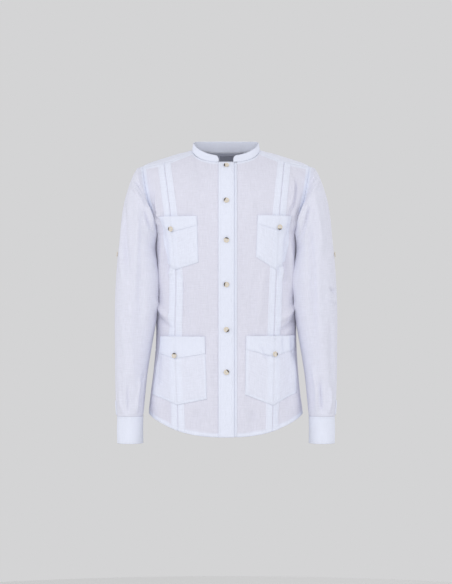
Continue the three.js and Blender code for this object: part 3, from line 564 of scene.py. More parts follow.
def add_node(tree, kind, links=(), **settings):
    """Adds a node; links are (input, node, output) and settings are its properties or inputs."""
    node = tree.nodes.new(kind)
    for name, value in settings.items():
        if hasattr(node, name):
            setattr(node, name, value)
        else:
            node.inputs[name.replace("_", " ")].default_value = value
    for socket, source, output in links:
        tree.links.new(source.outputs[output], node.inputs[socket])
    return node


def new_finish(name):
    material = bpy.data.materials.new(name)
    material.use_nodes = True
    material.node_tree.nodes.clear()
    return material, material.node_tree


# %% Woven linen
THREAD = 0.9
SLUB_THICK = 1.4
SLUB_LONG = 26
CRUMPLE_ACROSS = 24
CRUMPLE_DOWN = 40
# single linen is greyer than doubled partly as painted shade of the hollow seen through one layer
LINEN_SINGLE = "e1e1ee"
LINEN_DOUBLED = "e9edfb"


def streaks(tree, place, thick_x, thick_y, detail):
    """Noise drawn out along one thread direction."""
    stretch = add_node(tree, "ShaderNodeMapping", [("Vector", place, "UV")])
    stretch.inputs["Scale"].default_value = (1 / thick_x, 1 / thick_y, 1)
    links = [("Vector", stretch, "Vector")]
    return add_node(tree, "ShaderNodeTexNoise", links, Scale=1.0, Detail=detail, Roughness=0.6)


def woven_linen(name, single, doubled, slub_share, roughness):
    material, tree = new_finish(name)
    place = add_node(tree, "ShaderNodeUVMap", uv_map="cloth")
    warp = streaks(tree, place, SLUB_THICK, SLUB_LONG, 3.0)
    weft = streaks(tree, place, SLUB_LONG, SLUB_THICK, 3.0)
    slubs = add_node(tree, "ShaderNodeMath", [(0, warp, "Fac"), (1, weft, "Fac")], operation="ADD")
    # the layers attribute mixes single and doubled white; the single tone is partly painted shade of the
    # hollow behind it
    layers = add_node(tree, "ShaderNodeAttribute", attribute_name="layers")
    white = add_node(tree, "ShaderNodeMix", [("Factor", layers, "Fac")], data_type="RGBA")
    white.inputs[6].default_value = linear(single)
    white.inputs[7].default_value = linear(doubled)
    tone = add_node(tree, "ShaderNodeMapRange", [("Value", slubs, 0)], From_Min=0.7, From_Max=1.3)
    tone.inputs["To Min"].default_value = 1 - slub_share
    tone.inputs["To Max"].default_value = 1 + slub_share
    shade = add_node(tree, "ShaderNodeVectorMath", [(0, white, 2), (1, tone, 0)], operation="MULTIPLY")
    weave = []
    for direction in ("X", "Y"):
        threads = add_node(tree, "ShaderNodeMapping", [("Vector", place, "UV")])
        threads.inputs["Scale"].default_value = (1 / THREAD, 1 / THREAD, 1)
        links = [("Vector", threads, "Vector")]
        bands = add_node(tree, "ShaderNodeTexWave", links, Distortion=0.6, Detail=1.0)
        bands.bands_direction = direction
        bands.inputs["Scale"].default_value = math.pi / 10  # one band to each unit of its vector
        weave.append(bands)
    crossing = add_node(tree, "ShaderNodeMath", [(0, weave[0], 1), (1, weave[1], 1)], operation="ADD")
    relief = add_node(tree, "ShaderNodeMath", [(0, crossing, 0), (1, slubs, 0)], operation="ADD")
    threads_bump = add_node(tree, "ShaderNodeBump", [("Height", relief, 0)], Strength=0.35, Distance=0.00025)
    spots = add_node(tree, "ShaderNodeMapping", [("Vector", place, "UV")])
    spots.inputs["Scale"].default_value = (1 / CRUMPLE_ACROSS, 1 / CRUMPLE_DOWN, 1)
    links = [("Vector", spots, "Vector")]
    crumple = add_node(tree, "ShaderNodeTexNoise", links, Scale=1.0, Detail=2.5, Distortion=0.8)
    links = [("Height", crumple, "Fac"), ("Normal", threads_bump, 0)]
    bump = add_node(tree, "ShaderNodeBump", links, Strength=1.0, Distance=0.0022)
    links = [("Base Color", shade, 0), ("Normal", bump, 0)]
    shader = add_node(tree, "ShaderNodeBsdfPrincipled", links, Roughness=roughness, Sheen_Weight=0.12)
    shader.inputs["Sheen Roughness"].default_value = 0.5
    shader.inputs["Specular IOR Level"].default_value = 0.25
    add_node(tree, "ShaderNodeOutputMaterial", [("Surface", shader, 0)])
    return material


body_linen = woven_linen("slubbed_linen", LINEN_SINGLE, LINEN_DOUBLED, 0.06, 0.9)
doubled_linen = woven_linen("doubled_linen", LINEN_DOUBLED, LINEN_DOUBLED, 0.02, 0.85)
print("linen finishes:", body_linen.name, doubled_linen.name)

# %% [markdown]
# Each front is cut with its grain upright. Its two tucks are pressed folds of three layers side by side,
# with a narrow groove between them, that run from the shoulder seam to the hem. They could be folded as
# real pleats, but three layers of this linen are only a raised strip, so the sheet is lifted there, most
# at the groove, where the folded edges lie. Columns of the grid follow the tucks' edges, so that the step
# stays crisp.

# %% Fronts with their tucks
TUCK_GROOVE = table(
    "z right left", (-655, 107, 104), (-603, 108.5, 105), (-423, 114.5, 108.5), (-289, 113, 113),
    (-154, 124.5, 119.7), (-40, 140, 131.5), (-20, 142.5, 133.5),
)
TUCK_WIDTH = 13.6
HALF_GROOVE = 0.8
TUCK_SLOPE = 0.6
TUCK_RISE = 1.3
TUCK_OUTER_SHARE = 0.6  # the tucks' outer edges rise less than those at the groove
TUCK_REACH = HALF_GROOVE + 2 * TUCK_SLOPE + TUCK_WIDTH
TUCK_EDGES = [-TUCK_REACH, TUCK_SLOPE - TUCK_REACH, -HALF_GROOVE - TUCK_SLOPE, -HALF_GROOVE]
TUCK_EDGES = TUCK_EDGES + [-offset for offset in reversed(TUCK_EDGES)]
PLACKET_RIGHT = -17
PLACKET_LEFT = 18
STAND_RIGHT = -9
STAND_LEFT = 25
NECK_COLUMNS = [12, 34, 54, 68, YOKE_MEETS_NECK]
TUCK_TOP_Z = -30
OUTER_SPANS = 5
SEAM_GAP = 0.3
SEWN_GAP = 0.15  # between two cloths that are sewn together
HEM_TURN = 9  # how wide the cloth is turned in at the hem, the side seams, the other seams and the top
SIDE_TURN = 9
SEAM_TURN = 8
TOP_TURN = 7
EDGE_SOFT = 1.0
FOLDS_BEGIN = (2, 14)  # folds grow over this distance from a sewn edge


def groove(side, z):
    return along(TUCK_GROOVE, "z", z, side)


def tuck_rise(offset):
    """How far the tucks lift the cloth, beside the groove's line."""
    aside = np.abs(offset)
    outer = smooth(TUCK_REACH, TUCK_REACH - TUCK_SLOPE, aside)
    inner = smooth(HALF_GROOVE, HALF_GROOVE + TUCK_SLOPE, aside)
    return outer * inner * mix(TUCK_OUTER_SHARE, 1, smooth(TUCK_REACH, HALF_GROOVE, aside)) * TUCK_RISE


def front_columns_x(side, place, z, arm_z):
    """The distance from the middle of a front's columns, at places counted from the placket's side."""
    start = NECK_COLUMNS[0] if side == "right" else STAND_LEFT + SEWN_GAP
    tucks_top = groove(side, TUCK_TOP_Z) - TUCK_REACH
    line = groove(side, z)
    tucks = line - TUCK_REACH
    shares = [(max(x, start) - start) / (tucks_top - start) for x in NECK_COLUMNS]
    shares = [0, *shares[1:], (shares[-1] + 1) / 2]
    columns = [mix(start, tucks, share) for share in shares]
    columns += [line + offset for offset in TUCK_EDGES]
    first = plan_angle(side, line + TUCK_REACH, z)
    last = plan_angle(side, edge_x(side, arm_z), arm_z)
    columns += [plan_x(side, mix(first, last, k / OUTER_SPANS), z) for k in range(1, OUTER_SPANS)]
    columns.append(edge_x(side, arm_z))
    return between_columns(columns, place)


LOW_ROWS = 150
HIGH_ROWS = 58
FRONT_PLACES = spread_counts(8, 8, 6, 3, 9, 9, 2, 7, 2, 3, 2, 7, 2, 8, 8, 8, 8, 8)


def edge_rows(last_step):
    """Heights at the arm's edge, and each row's share of the way from the hem to the armhole's foot."""
    low = np.linspace(0, 1, LOW_ROWS)
    steps = np.linspace(ARMHOLE_STEPS / 2, last_step, HIGH_ROWS + 1)[1:]
    return np.concatenate([mix(HEM_SIDE, ARMHOLE_FOOT, low), armhole_height(steps)]), low


def front_place(side):
    """The x and z of a front's grid."""
    arm_z, low = edge_rows(FRONT_SEAM_STEP)
    top_z = arm_z[-1]
    hem_z = np.full_like(FRONT_PLACES, HEM_SIDE - HEM_DROP / 2)
    hem_x = front_columns_x(side, FRONT_PLACES, hem_z, HEM_SIDE)
    top_x = front_columns_x(side, FRONT_PLACES, np.full_like(FRONT_PLACES, TUCK_TOP_Z), top_z)
    hems = hem_height(hem_x)
    tops = front_top(top_x)
    low_z = mix(hems[None], ARMHOLE_FOOT, low[:, None])
    share = (arm_z[LOW_ROWS:] - ARMHOLE_FOOT) / (top_z - ARMHOLE_FOOT)
    high_z = mix(ARMHOLE_FOOT, tops[None], share[:, None])
    z = np.concatenate([low_z, high_z])
    z[:, -1] = arm_z
    return front_columns_x(side, FRONT_PLACES[None], z, arm_z[:, None]), z


def near_edge(distance, width):
    """One inside a strip of that width along an edge, and none beyond it."""
    return smooth(width + EDGE_SOFT, width - EDGE_SOFT, distance)


def edge_layers(cut, bottom=0, top=0, first=0, last=0):
    """Where the cloth is doubled: strips of the given widths along its four edges."""
    across, up = cut[..., 0], cut[..., 1]
    layers = np.zeros(across.shape)
    for width, distance in (
        (bottom, up - up[:1]),
        (top, up[-1:] - up),
        (first, across - across[:, :1]),
        (last, across[:, -1:] - across),
    ):
        if width:
            layers = np.maximum(layers, near_edge(distance, width))
    return layers


for side in ("right", "left"):
    flip = side == "right"
    x, z = front_place(side)
    points, out = on_front(side, x, z)
    cut = flat_place(points, LOW_ROWS - 1, 0)
    beside = x - groove(side, z)
    layers = edge_layers(cut, bottom=HEM_TURN, top=TOP_TURN, last=SIDE_TURN)
    layers = np.maximum(layers, np.clip(tuck_rise(beside), 0, 1))
    calm = smooth(*FOLDS_BEGIN, cut[:, -1:, 0] - cut[..., 0])
    points = points + out * tuck_rise(beside)[..., None]
    points = fold_cloth(points, out, calm)
    add_sheet(f"front_{side}", points, cut, layers, SINGLE, body_linen, flip)

# %% [markdown]
# The placket is a doubled strip sewn down the edge of the wearer's right front, with the buttonholes in
# it. The button stand lies under it. Both follow the front's own surface, moved out by what lies beneath,
# and two rows of topstitching draw the placket's edges in a little.

# %% Placket and button stand
CLOTH = 1.4
LAY_GAP = 0.6
DOUBLE_CLOTH = 1.8
PLACKET_LIFT = CLOTH / 2 + LAY_GAP + DOUBLE_CLOTH / 2
STITCH_IN = 4.5
STITCH_DIP = 0.35
DIP_WIDTH = 0.8
STRIP_PRESS = 4  # the strip rises from its sewn edge over this width
PLACKET_COLUMNS = 38
STAND_COLUMNS = 16


def stitch_dip(from_edge):
    """How far a row of topstitching draws the cloth in."""
    return STITCH_DIP * np.exp(-(((from_edge - STITCH_IN) / DIP_WIDTH) ** 2))


def strip(right, left, lift, lower, columns):
    """A strip up the middle of the front, from the hem to the neck seam, with its rows' heights."""
    foot = HEM_SIDE - HEM_DROP + lower
    top = neck_point(0.0)[2] - SEAM_GAP
    z = np.linspace(foot, top, LOW_ROWS + HIGH_ROWS)[:, None]
    x = np.linspace(right, left, columns)[None]
    points, out = on_front("left", x, z)
    points = fold_cloth(points, out)
    dip = stitch_dip(np.minimum(x - right, left - x)) * (lift > 0)
    sewn = min(lift, DOUBLED + SEWN_GAP)
    return points + out * (mix(sewn, lift, smooth(0, STRIP_PRESS, x - right)) - dip)[..., None]


points = strip(PLACKET_RIGHT, PLACKET_LEFT, PLACKET_LIFT, 0, PLACKET_COLUMNS)
add_band("placket", points, DOUBLED, doubled_linen, row=LOW_ROWS)
points = strip(STAND_RIGHT, STAND_LEFT, 0, 1, STAND_COLUMNS)
add_band("button_stand", points, DOUBLED, doubled_linen, row=LOW_ROWS)

# %% [markdown]
# The back is one panel from side seam to side seam. Above the hips its grid narrows with the body's plan,
# so that its columns keep running upright.

# %% Back
BACK_COLUMNS = 111


def back_points():
    arm_z, low = edge_rows(BACK_SEAM_STEP)
    across = np.linspace(-1, 1, BACK_COLUMNS)
    rows = []
    for j, height in enumerate(arm_z):
        row = []
        for side, part in (("left", across[across < 0]), ("right", across[across >= 0])):
            share = np.abs(part)
            arm_x = float(edge_x(side, height))
            bottom_x = plan_x(side, plan_angle(side, HEM_HALF_WIDTH - 1, HEM_SIDE) * share, HEM_SIDE)
            bottom_z = np.where(share == 1, HEM_SIDE, hem_height(bottom_x))
            z = mix(bottom_z, ARMHOLE_FOOT, low[j]) if j < LOW_ROWS else np.full_like(share, height)
            x = plan_x(side, plan_angle(side, arm_x, height) * share, z)
            x = np.where(share == 1, arm_x, x)
            row.append(np.stack([SIGN[side] * x, back_y(side, x, z), z], axis=-1))
        rows.append(np.concatenate(row))
    return np.stack(rows)


points = back_points()
cut = flat_place(points, LOW_ROWS - 1, BACK_COLUMNS // 2)
out = ways_out(points, False)
calm = smooth(*FOLDS_BEGIN, cut[:, -1:, 0] - cut[..., 0]) * smooth(*FOLDS_BEGIN, cut[..., 0] - cut[:, :1, 0])
layers = edge_layers(cut, bottom=HEM_TURN, top=SEAM_TURN, first=SEAM_TURN, last=SEAM_TURN)
add_sheet("back", fold_cloth(points, out, calm), cut, layers, SINGLE, body_linen)

# %% [markdown]
# The yoke lies over the shoulders. Its front seam sits a little before the crest, and its columns run
# from that seam, or from the neck, over the crest and down to the back. Each column follows the two
# domes' own profile.

# %% Yoke
YOKE_ROWS = FRONT_SEAM_STEP + BACK_SEAM_STEP
YOKE_BACK_REACH = 88
YOKE_ARM_COLUMNS = 46
YOKE_NECK_COLUMNS = 38
YOKE_GRID_ROWS = 50
# the yoke is mixed part way to the doubled white; the step from single linen is partly painted shade
YOKE_WHITE = 0.6


def profile_angle(x, y, z):
    """A point's angle in the shoulder's profile: none behind, a quarter turn at the crest."""
    behind = y >= CREST_Y
    share = plan_share("left", x, z)
    back_depth = along(BODY, "z", z, "back") * share
    front_depth = along(BODY, "z", z, "front") * share
    reach = np.where(behind, (y - CREST_Y) / (back_depth - CREST_Y), (CREST_Y - y) / (front_depth + CREST_Y))
    roundness = np.where(behind, DOME["back"][1], DOME["front"][1])
    angle = np.arccos(np.clip(reach, 0, 1) ** (roundness / 2))
    return np.where(behind, angle, np.pi - angle)


def profile_point(x, angle):
    behind = angle <= np.pi / 2
    crest = np.where(behind, along(CREST, "x", x, "back"), along(CREST, "x", x, "front"))
    rise = np.where(behind, DOME["back"][0], DOME["front"][0])
    z = mix(DOME_FOOT, crest, np.clip(np.sin(angle), 0, 1) ** (2 / rise))
    y = np.where(behind, back_y("left", x, z), plain_front_y("left", x, z))
    return np.stack([x, y, z], axis=-1)


def half_yoke(columns_arm, columns_neck, rows):
    """The yoke from the wearer's left arm to the middle of the back, as rows from the back seam up."""
    seam_z = float(armhole_height(BACK_SEAM_STEP))
    arm_x = float(along(ARMHOLE_WIDTH, "z", seam_z, "x"))
    end_x = float(along(ARMHOLE_WIDTH, "z", armhole_height(FRONT_SEAM_STEP), "x"))
    seam_x = np.linspace(end_x, YOKE_MEETS_NECK, columns_arm)
    reach = (seam_x - YOKE_MEETS_NECK) / (end_x - YOKE_MEETS_NECK)
    seam = np.stack([seam_x, front_y("left", seam_x, front_top(seam_x)), front_top(seam_x)], axis=-1)
    share = np.linspace(1, 0, columns_neck + 1)[1:]
    neck = np.stack(neck_point(mix(np.pi, neck_angle(YOKE_MEETS_NECK), share)), axis=-1)
    start = np.concatenate([seam, neck])
    back_x = np.concatenate([mix(YOKE_BACK_REACH, arm_x, reach), YOKE_BACK_REACH * share])
    pull = np.concatenate([reach**4, np.zeros(columns_neck)])
    first = profile_angle(np.abs(start[:, 0]), start[:, 1], start[:, 2])
    crest = along(CREST, "x", back_x, "back")
    last = np.arcsin(((seam_z - DOME_FOOT) / (crest - DOME_FOOT)) ** (DOME["back"][0] / 2))
    t = np.linspace(1, 0, rows)[:, None]
    points = profile_point(mix(np.abs(start[:, 0])[None], back_x[None], t), mix(first[None], last[None], t))
    begin = profile_point(np.abs(start[:, 0]), first)
    points = points + (start - begin)[None] * ((1 - t) ** 2)[..., None]
    arm = armhole_point("left", ARMHOLE_STEPS + FRONT_SEAM_STEP - t[:, 0] * YOKE_ROWS)
    return points + (arm - points[:, 0])[:, None] * pull[None, :, None]


left_half = half_yoke(YOKE_ARM_COLUMNS, YOKE_NECK_COLUMNS, YOKE_GRID_ROWS)
right_half = left_half[:, -2::-1] * np.array([-1, 1, 1])
points = np.concatenate([left_half, right_half], axis=1)
cut = flat_place(points, 0, points.shape[1] // 2)
out = ways_out(points, False)
layers = edge_layers(cut, bottom=SEAM_TURN, top=TOP_TURN, first=SEAM_TURN, last=SEAM_TURN)
layers = np.maximum(YOKE_WHITE, layers)
add_sheet("yoke", fold_cloth(points, out), cut, layers, SINGLE, body_linen)

# %% [markdown]
# The collar is only a narrow doubled band that stands on the neck seam and leans in, higher behind than
# in front. It follows the neck seam's own points, and its two front ends are rounded off as a quarter
# circle.

# %% Collar band
COLLAR = table(
    "y height lean", (-54, 15.5, 12), (-38, 16, 9), (-20, 15, 5), (-8, 14, 2.5), (6, 14.2, 2.5),
    (22, 18.5, 3.5), (44, 26, 5),
)
COLLAR_END = PLACKET_LEFT - 0.5
COLLAR_END_RADIUS = 13
COLLAR_END_DROP = 0.93
COLLAR_FOOT_FRONT = 0.35
COLLAR_FOOT_BACK = 0.6
COLLAR_FOOT_SPAN = (-50, -20)
COLLAR_FRONT_COLUMNS = 44
COLLAR_BACK_COLUMNS = 70
COLLAR_ROWS = 16


def neck_seam(columns_front, columns_back):
    """The neck seam's points, from the wearer's right end round behind to the left."""
    x = np.linspace(COLLAR_END, YOKE_MEETS_NECK, columns_front)
    right = on_front("right", x, front_top(x))[0]
    left = on_front("left", x[::-1], front_top(x[::-1]))[0]
    share = np.linspace(-1, 1, columns_back + 2)[1:-1]
    spot = neck_point(mix(np.pi, neck_angle(YOKE_MEETS_NECK), np.abs(share)))
    behind = np.stack([np.sign(share) * spot[0], spot[1], spot[2]], axis=-1)
    return np.concatenate([right, behind, left])


def collar_points():
    base = neck_seam(COLLAR_FRONT_COLUMNS, COLLAR_BACK_COLUMNS)
    inwards = np.array([0, NECK_Y, 0]) - base
    inwards[:, 2] = 0
    inwards = unit(inwards)
    height = along(COLLAR, "y", base[:, 1], "height")
    lean = along(COLLAR, "y", base[:, 1], "lean")
    from_end = np.maximum(0, np.abs(base[:, 0]) - COLLAR_END)
    rounding = 1 - np.minimum(1, from_end / COLLAR_END_RADIUS)
    full = np.where(base[:, 1] < NECK_Y, np.sqrt(1 - COLLAR_END_DROP * rounding**2), 1)
    foot = mix(COLLAR_FOOT_FRONT, COLLAR_FOOT_BACK, smooth(*COLLAR_FOOT_SPAN, base[:, 1]))
    up = np.linspace(0, 1, COLLAR_ROWS)[:, None]
    share = foot / height + (1 - foot / height) * up * full
    points = base + inwards * (lean * share)[..., None]
    points[..., 2] = base[:, 2] + height * share
    return points


add_band("collar_band", collar_points(), DOUBLED, doubled_linen, flip=True)

# %% [markdown]
# A sleeve is a tube that hangs from the armhole, with its own slightly square section. The tube is one
# grid whose first and last columns meet under the arm. Its upper row lies on the armhole, so body and
# sleeve join, and its lower row meets the cuff. Its front laps forwards over the armhole seam, as it does
# below a lowered arm. The cloth is folded less where it is sewn.

# %% Sleeves
SLEEVE = table(
    "ring outerX outerZ innerX innerZ depth y",
    (1, 204, -43, 175, -199.5, 57, -2),
    (2, 214, -62, 172, -206, 60, -6),
    (3, 224, -90, 167, -216, 61, -11),
    (4, 233, -122, 160, -229, 62, -15),
    (5, 239, -160, 155, -246, 61, -18),
    (6, 243, -205, 151, -268, 60, -21),
    (7, 248.5, -260, 148, -300, 57, -24),
    (8, 252.5, -320, 151, -345, 54, -26),
    (9, 254, -388, 160, -397, 52, -28),
    (10, 253.5, -450, 169.5, -450, 49, -29),
    (11, 253, -512, 179.5, -512, 46, -31),
    (12, 251.5, -565, 185, -565, 44, -33),
    (13, 249.5, -597, 188, -597, 42, -34),
    (14, 248.5, -608.8, 189.5, -608.8, 39.5, -35),
)
SLEEVE_RINGS = len(SLEEVE["ring"])
SLEEVE_SQUARENESS = 2.1
CLEAR_OF_BODY = 2.4
ARMHOLE_GAP = 0.25
SLEEVE_COLUMNS = 161
SLEEVE_ROWS = 200
HEAD_ROWS = 22
SLEEVE_PAINTED_LIGHT = 0.28  # painted light: the sleeve's one layer is mixed part way to the doubled white, to offset the shade of its rounder form
SLEEVE_END = -609.25
LAP_IN = 18
LAP_FORWARD = 19
LAP_CLEAR = 2.2
LAP_BEGINS = (62, 128)  # degrees round the sleeve
LAP_ENDS = (188, 158)
LAP_RINGS = (4.8, 1.5)
LAP_IN_RISE = (0.15, 0.9)  # how the lap grows from the seam, in rings
LAP_FORWARD_RISE = (0, 0.5)
LAP_CLEAR_RISE = (0, 0.4)
CUFF_FOLDS = 0.3  # the share of the folds that is left at the cuff, growing over some rows
CUFF_FOLD_ROWS = 24


def body_clearance(side, y, z):
    """The least distance from the middle that keeps a sleeve clear of the body beside it."""
    face_depth = np.where(y < 0, along(BODY, "z", z, "front"), along(BODY, "z", z, "back"))
    share = np.minimum(1, np.abs(y) / (face_depth + CLEAR_OF_BODY))
    clear = (half_width(side, z) + CLEAR_OF_BODY) * (1 - share**SQUARENESS) ** (1 / SQUARENESS)
    return np.where(z > ARMHOLE_FOOT, 0, clear)


def sleeve_section(side, ring, angle):
    """Points round a sleeve, from its outer side by the front."""
    power = 2 / SLEEVE_SQUARENESS
    outwards = signed_power(np.cos(angle), power) / 2
    outer_x, inner_x = along(SLEEVE, "ring", ring, "outerX"), along(SLEEVE, "ring", ring, "innerX")
    outer_z, inner_z = along(SLEEVE, "ring", ring, "outerZ"), along(SLEEVE, "ring", ring, "innerZ")
    x = (outer_x + inner_x) / 2 + (outer_x - inner_x) * outwards
    z = (outer_z + inner_z) / 2 + (outer_z - inner_z) * outwards
    depth = along(SLEEVE, "ring", ring, "depth") * signed_power(np.sin(angle), power)
    y = along(SLEEVE, "ring", ring, "y") - depth
    return np.stack([SIGN[side] * np.maximum(x, body_clearance(side, y, z)), y, z], axis=-1)


def lap_forward(side, points, ring, degrees):
    """Lays the sleeve's front over its armhole seam, as cloth falls from a lowered arm."""
    around = smooth(*LAP_BEGINS, degrees) * smooth(*LAP_ENDS, degrees)
    onward = smooth(*LAP_RINGS, ring) * around
    x = np.abs(points[..., 0]) - LAP_IN * onward * smooth(*LAP_IN_RISE, ring)
    y = points[..., 1] - LAP_FORWARD * onward * smooth(*LAP_FORWARD_RISE, ring)
    z = points[..., 2]
    over = (x < edge_x(side, z) + 1) & (z > ARMHOLE_FOOT) & (around > 0)
    face = front_y(side, np.minimum(x, half_width(side, z) - 1), z)
    clear = face - LAP_CLEAR * smooth(*LAP_CLEAR_RISE, ring)
    y = np.where(over, np.minimum(y, clear), y)
    x = np.maximum(x, body_clearance(side, y, z))
    return np.stack([SIGN[side] * x, y, z], axis=-1)


def sleeve_points(side):
    angle = np.linspace(0, 2 * np.pi, SLEEVE_COLUMNS)[None]
    rings = np.linspace(SLEEVE_RINGS, 1, SLEEVE_ROWS)[:, None]
    tube = sleeve_section(side, rings, angle)
    tube[0, :, 2] = SLEEVE_END
    seam = armhole_point(side, angle[0] / (2 * np.pi) * ARMHOLE_STEPS)
    head = seam + unit(tube[-1] - seam) * ARMHOLE_GAP
    share = np.linspace(0, 1, HEAD_ROWS)[1:, None]
    points = np.concatenate([tube, mix(tube[-1], head, share[..., None])])
    points[:, -1] = points[:, 0]
    return lap_forward(side, points, np.concatenate([rings, 1 - share]), np.degrees(angle))


for side in ("right", "left"):
    points = sleeve_points(side)
    cut = flat_place(points, 0, 0)
    flip = side == "left"
    out = ways_out(points, flip)
    out[:, 0] = out[:, -1] = unit(out[:, 0] + out[:, -1])
    row = np.arange(len(points))[:, None]
    calm = smooth(0, 2 * HEAD_ROWS, len(points) - 1 - row)
    calm = calm * mix(CUFF_FOLDS, 1, smooth(0, CUFF_FOLD_ROWS, row))
    points = fold_cloth(points, out, calm)
    # painted light on the sleeves: their one layer is whitened part way to the doubled tone
    layers = np.maximum(SLEEVE_PAINTED_LIGHT, edge_layers(cut, top=SEAM_TURN))
    add_sheet(f"sleeve_{side}", points, cut, layers, SINGLE, body_linen, flip, closed=True)

# %% [markdown]
# A cuff is a doubled band round the wrist whose upper end laps over the lower. It isn't a closed ring:
# the band starts and ends under its button, with the lower end a little further in.

# %% Cuffs
CUFF_TOP = -609.45
CUFF_FOOT = -671
CUFF_X = 218.6
CUFF_HALF_WIDTH = 29.4
CUFF_DEPTH = 39
CUFF_Y = -35
CUFF_START = -55
CUFF_END = 340
CUFF_TUCK_IN = 2.4
CUFF_TUCK_SPAN = (-14, 14)
CUFF_COLUMNS = 150
CUFF_ROWS = 32
CUFF_WAVE = 0.7
CUFF_WAVES = 3
CUFF_WAVE_START = 40
CUFF_WAVE_EASE = 30


def cuff_points(side, degrees, z, lift=0.0):
    away = lift - CUFF_TUCK_IN * (1 - smooth(*CUFF_TUCK_SPAN, degrees))
    power = 2 / SLEEVE_SQUARENESS
    angle = np.radians(degrees)
    x = CUFF_X + (CUFF_HALF_WIDTH + away) * signed_power(np.cos(angle), power)
    y = CUFF_Y - (CUFF_DEPTH + away) * signed_power(np.sin(angle), power)
    x, y, z = np.broadcast_arrays(SIGN[side] * x, y, z)
    return np.stack([x, y, z], axis=-1)


for side in ("right", "left"):
    degrees = np.linspace(CUFF_START, CUFF_END, CUFF_COLUMNS)[None]
    z = np.linspace(CUFF_FOOT, CUFF_TOP, CUFF_ROWS)[:, None]
    from_edge = np.minimum(z - CUFF_FOOT, CUFF_TOP - z)
    wave = CUFF_WAVE * np.sin(np.radians(degrees * CUFF_WAVES + CUFF_WAVE_START))
    soft = wave * smooth(0, CUFF_WAVE_EASE, from_edge)
    points = cuff_points(side, degrees, z, soft - stitch_dip(from_edge))
    add_band(f"cuff_{side}", points, DOUBLED, doubled_linen, side == "left")

# %% [markdown]
# The slit of each sleeve is finished with a short strip. It lies on the sleeve, so its points are found
# on the sleeve's own section and moved out.

# %% Sleeve plackets
SLEEVE_PLACKET_FROM = -18
SLEEVE_PLACKET_TO = 20
SLEEVE_PLACKET_TOP = -573
SLEEVE_PLACKET_FOOT = -606
SLEEVE_PLACKET_GAP = 1
SLEEVE_PLACKET_COLUMNS = 22
SLEEVE_PLACKET_ROWS = 24
SLEEVE_PLACKET_PRESS = (12, 6)  # degrees from its sides and millimetres from its top
BAND_CLOTH = 1.0


def on_sleeve(side, degrees, z, lift):
    """Points on a sleeve at a height near its lower end, lifted off it, and their ways out."""
    degrees, z = np.broadcast_arrays(np.asarray(degrees, float), np.asarray(z, float))
    angle = np.radians(degrees)
    low = np.ones_like(z)
    high = np.full_like(z, SLEEVE_RINGS)
    for _ in range(30):
        middle = (low + high) / 2
        above = sleeve_section(side, middle, angle)[..., 2] > z
        low = np.where(above, middle, low)
        high = np.where(above, high, middle)
    step = 0.02
    around = sleeve_section(side, low, angle + step) - sleeve_section(side, low, angle - step)
    down = sleeve_section(side, low + step, angle) - sleeve_section(side, low - step, angle)
    out = unit(np.cross(around, down)) * SIGN[side]
    return sleeve_section(side, low, angle) + out * lift, out


for side in ("right", "left"):
    full_lift = CLOTH / 2 + SLEEVE_PLACKET_GAP + BAND_CLOTH / 2
    degrees = np.linspace(SLEEVE_PLACKET_FROM, SLEEVE_PLACKET_TO, SLEEVE_PLACKET_COLUMNS)[None]
    z = np.linspace(SLEEVE_PLACKET_FOOT, SLEEVE_PLACKET_TOP, SLEEVE_PLACKET_ROWS)[:, None]
    from_edge = np.minimum(degrees - SLEEVE_PLACKET_FROM, SLEEVE_PLACKET_TO - degrees)
    loose = smooth(0, SLEEVE_PLACKET_PRESS[0], from_edge)
    loose = loose * smooth(0, SLEEVE_PLACKET_PRESS[1], SLEEVE_PLACKET_TOP - z)
    lift = mix(SINGLE + SEWN_GAP, full_lift, loose)
    points = on_sleeve(side, degrees, z, lift[..., None])[0]
    add_band(f"sleeve_placket_{side}", points, SINGLE, doubled_linen, side == "left")

# %% [markdown]
# Patch pockets are flat pieces with a pointed foot, stitched down over the tucks, and each has a pointed
# band across its top under the button. They are laid from the front's own points, lifted clear of the
# cloth, so that they curve round the body with it. The tucks run on down the pocket below the band.

# %% Pockets
POCKET_CLOTH = 1.2
POCKET_GAP = 1.3
BAND_GAP = 0.8
BAND_STAND = 0.9
BAND_PRESS = 7
BAND_ROWS = 26
POCKET_ROWS = 60
POCKET_TURN = 6
POCKET_EASE = 3  # the pocket comes down to the cloth this far beyond the tucks
POCKET_SIDE = 4
PRESS_WIDTH = 10
MOUTH_OPEN = 1.1
MOUTH_DEEP = 16
MOUTH_SIDE = 22
POCKET_LIFT = CLOTH / 2 + POCKET_GAP + POCKET_CLOTH / 2
TUCK_HEIGHT = 1.2
GROOVE_COLUMN = 4
POCKET_NAMES = ("chest_pocket", "chest_pocket", "lower_pocket", "lower_pocket")
POCKET_SIDES = ("right", "left", "right", "left")
# the white column mixes each pocket part way to the doubled white; the step from single linen is partly
# painted shade
POCKETS = table(
    "top innerTop outerTop inner innerLow outer outerLow point bandSide bandPoint button white",
    (-156.5, 65, 150, -260.8, 62, -262, 136, -277, 21, 35, 27.5, 0.9),
    (-155, 70.7, 150, -248.5, 67.3, -258, 140, -277.6, 19, 33, 25.3, 0.9),
    (-427, 47, 149, -568, 42.6, -560, 162, -582, 39, 51, 44, 0.6),
    (-425.7, 44.9, 155, -558, 42.6, -556, 155, -583, 30, 48, 41.7, 0.6),
)
POCKET_PLACES = spread_counts(9, 9, 2, 7, 7, 2, 6, 6)


def pocket_lift(side, x, z):
    aside = np.abs(x - groove(side, z))
    return POCKET_LIFT + TUCK_HEIGHT * (1 - smooth(TUCK_REACH, TUCK_REACH + POCKET_EASE, aside))


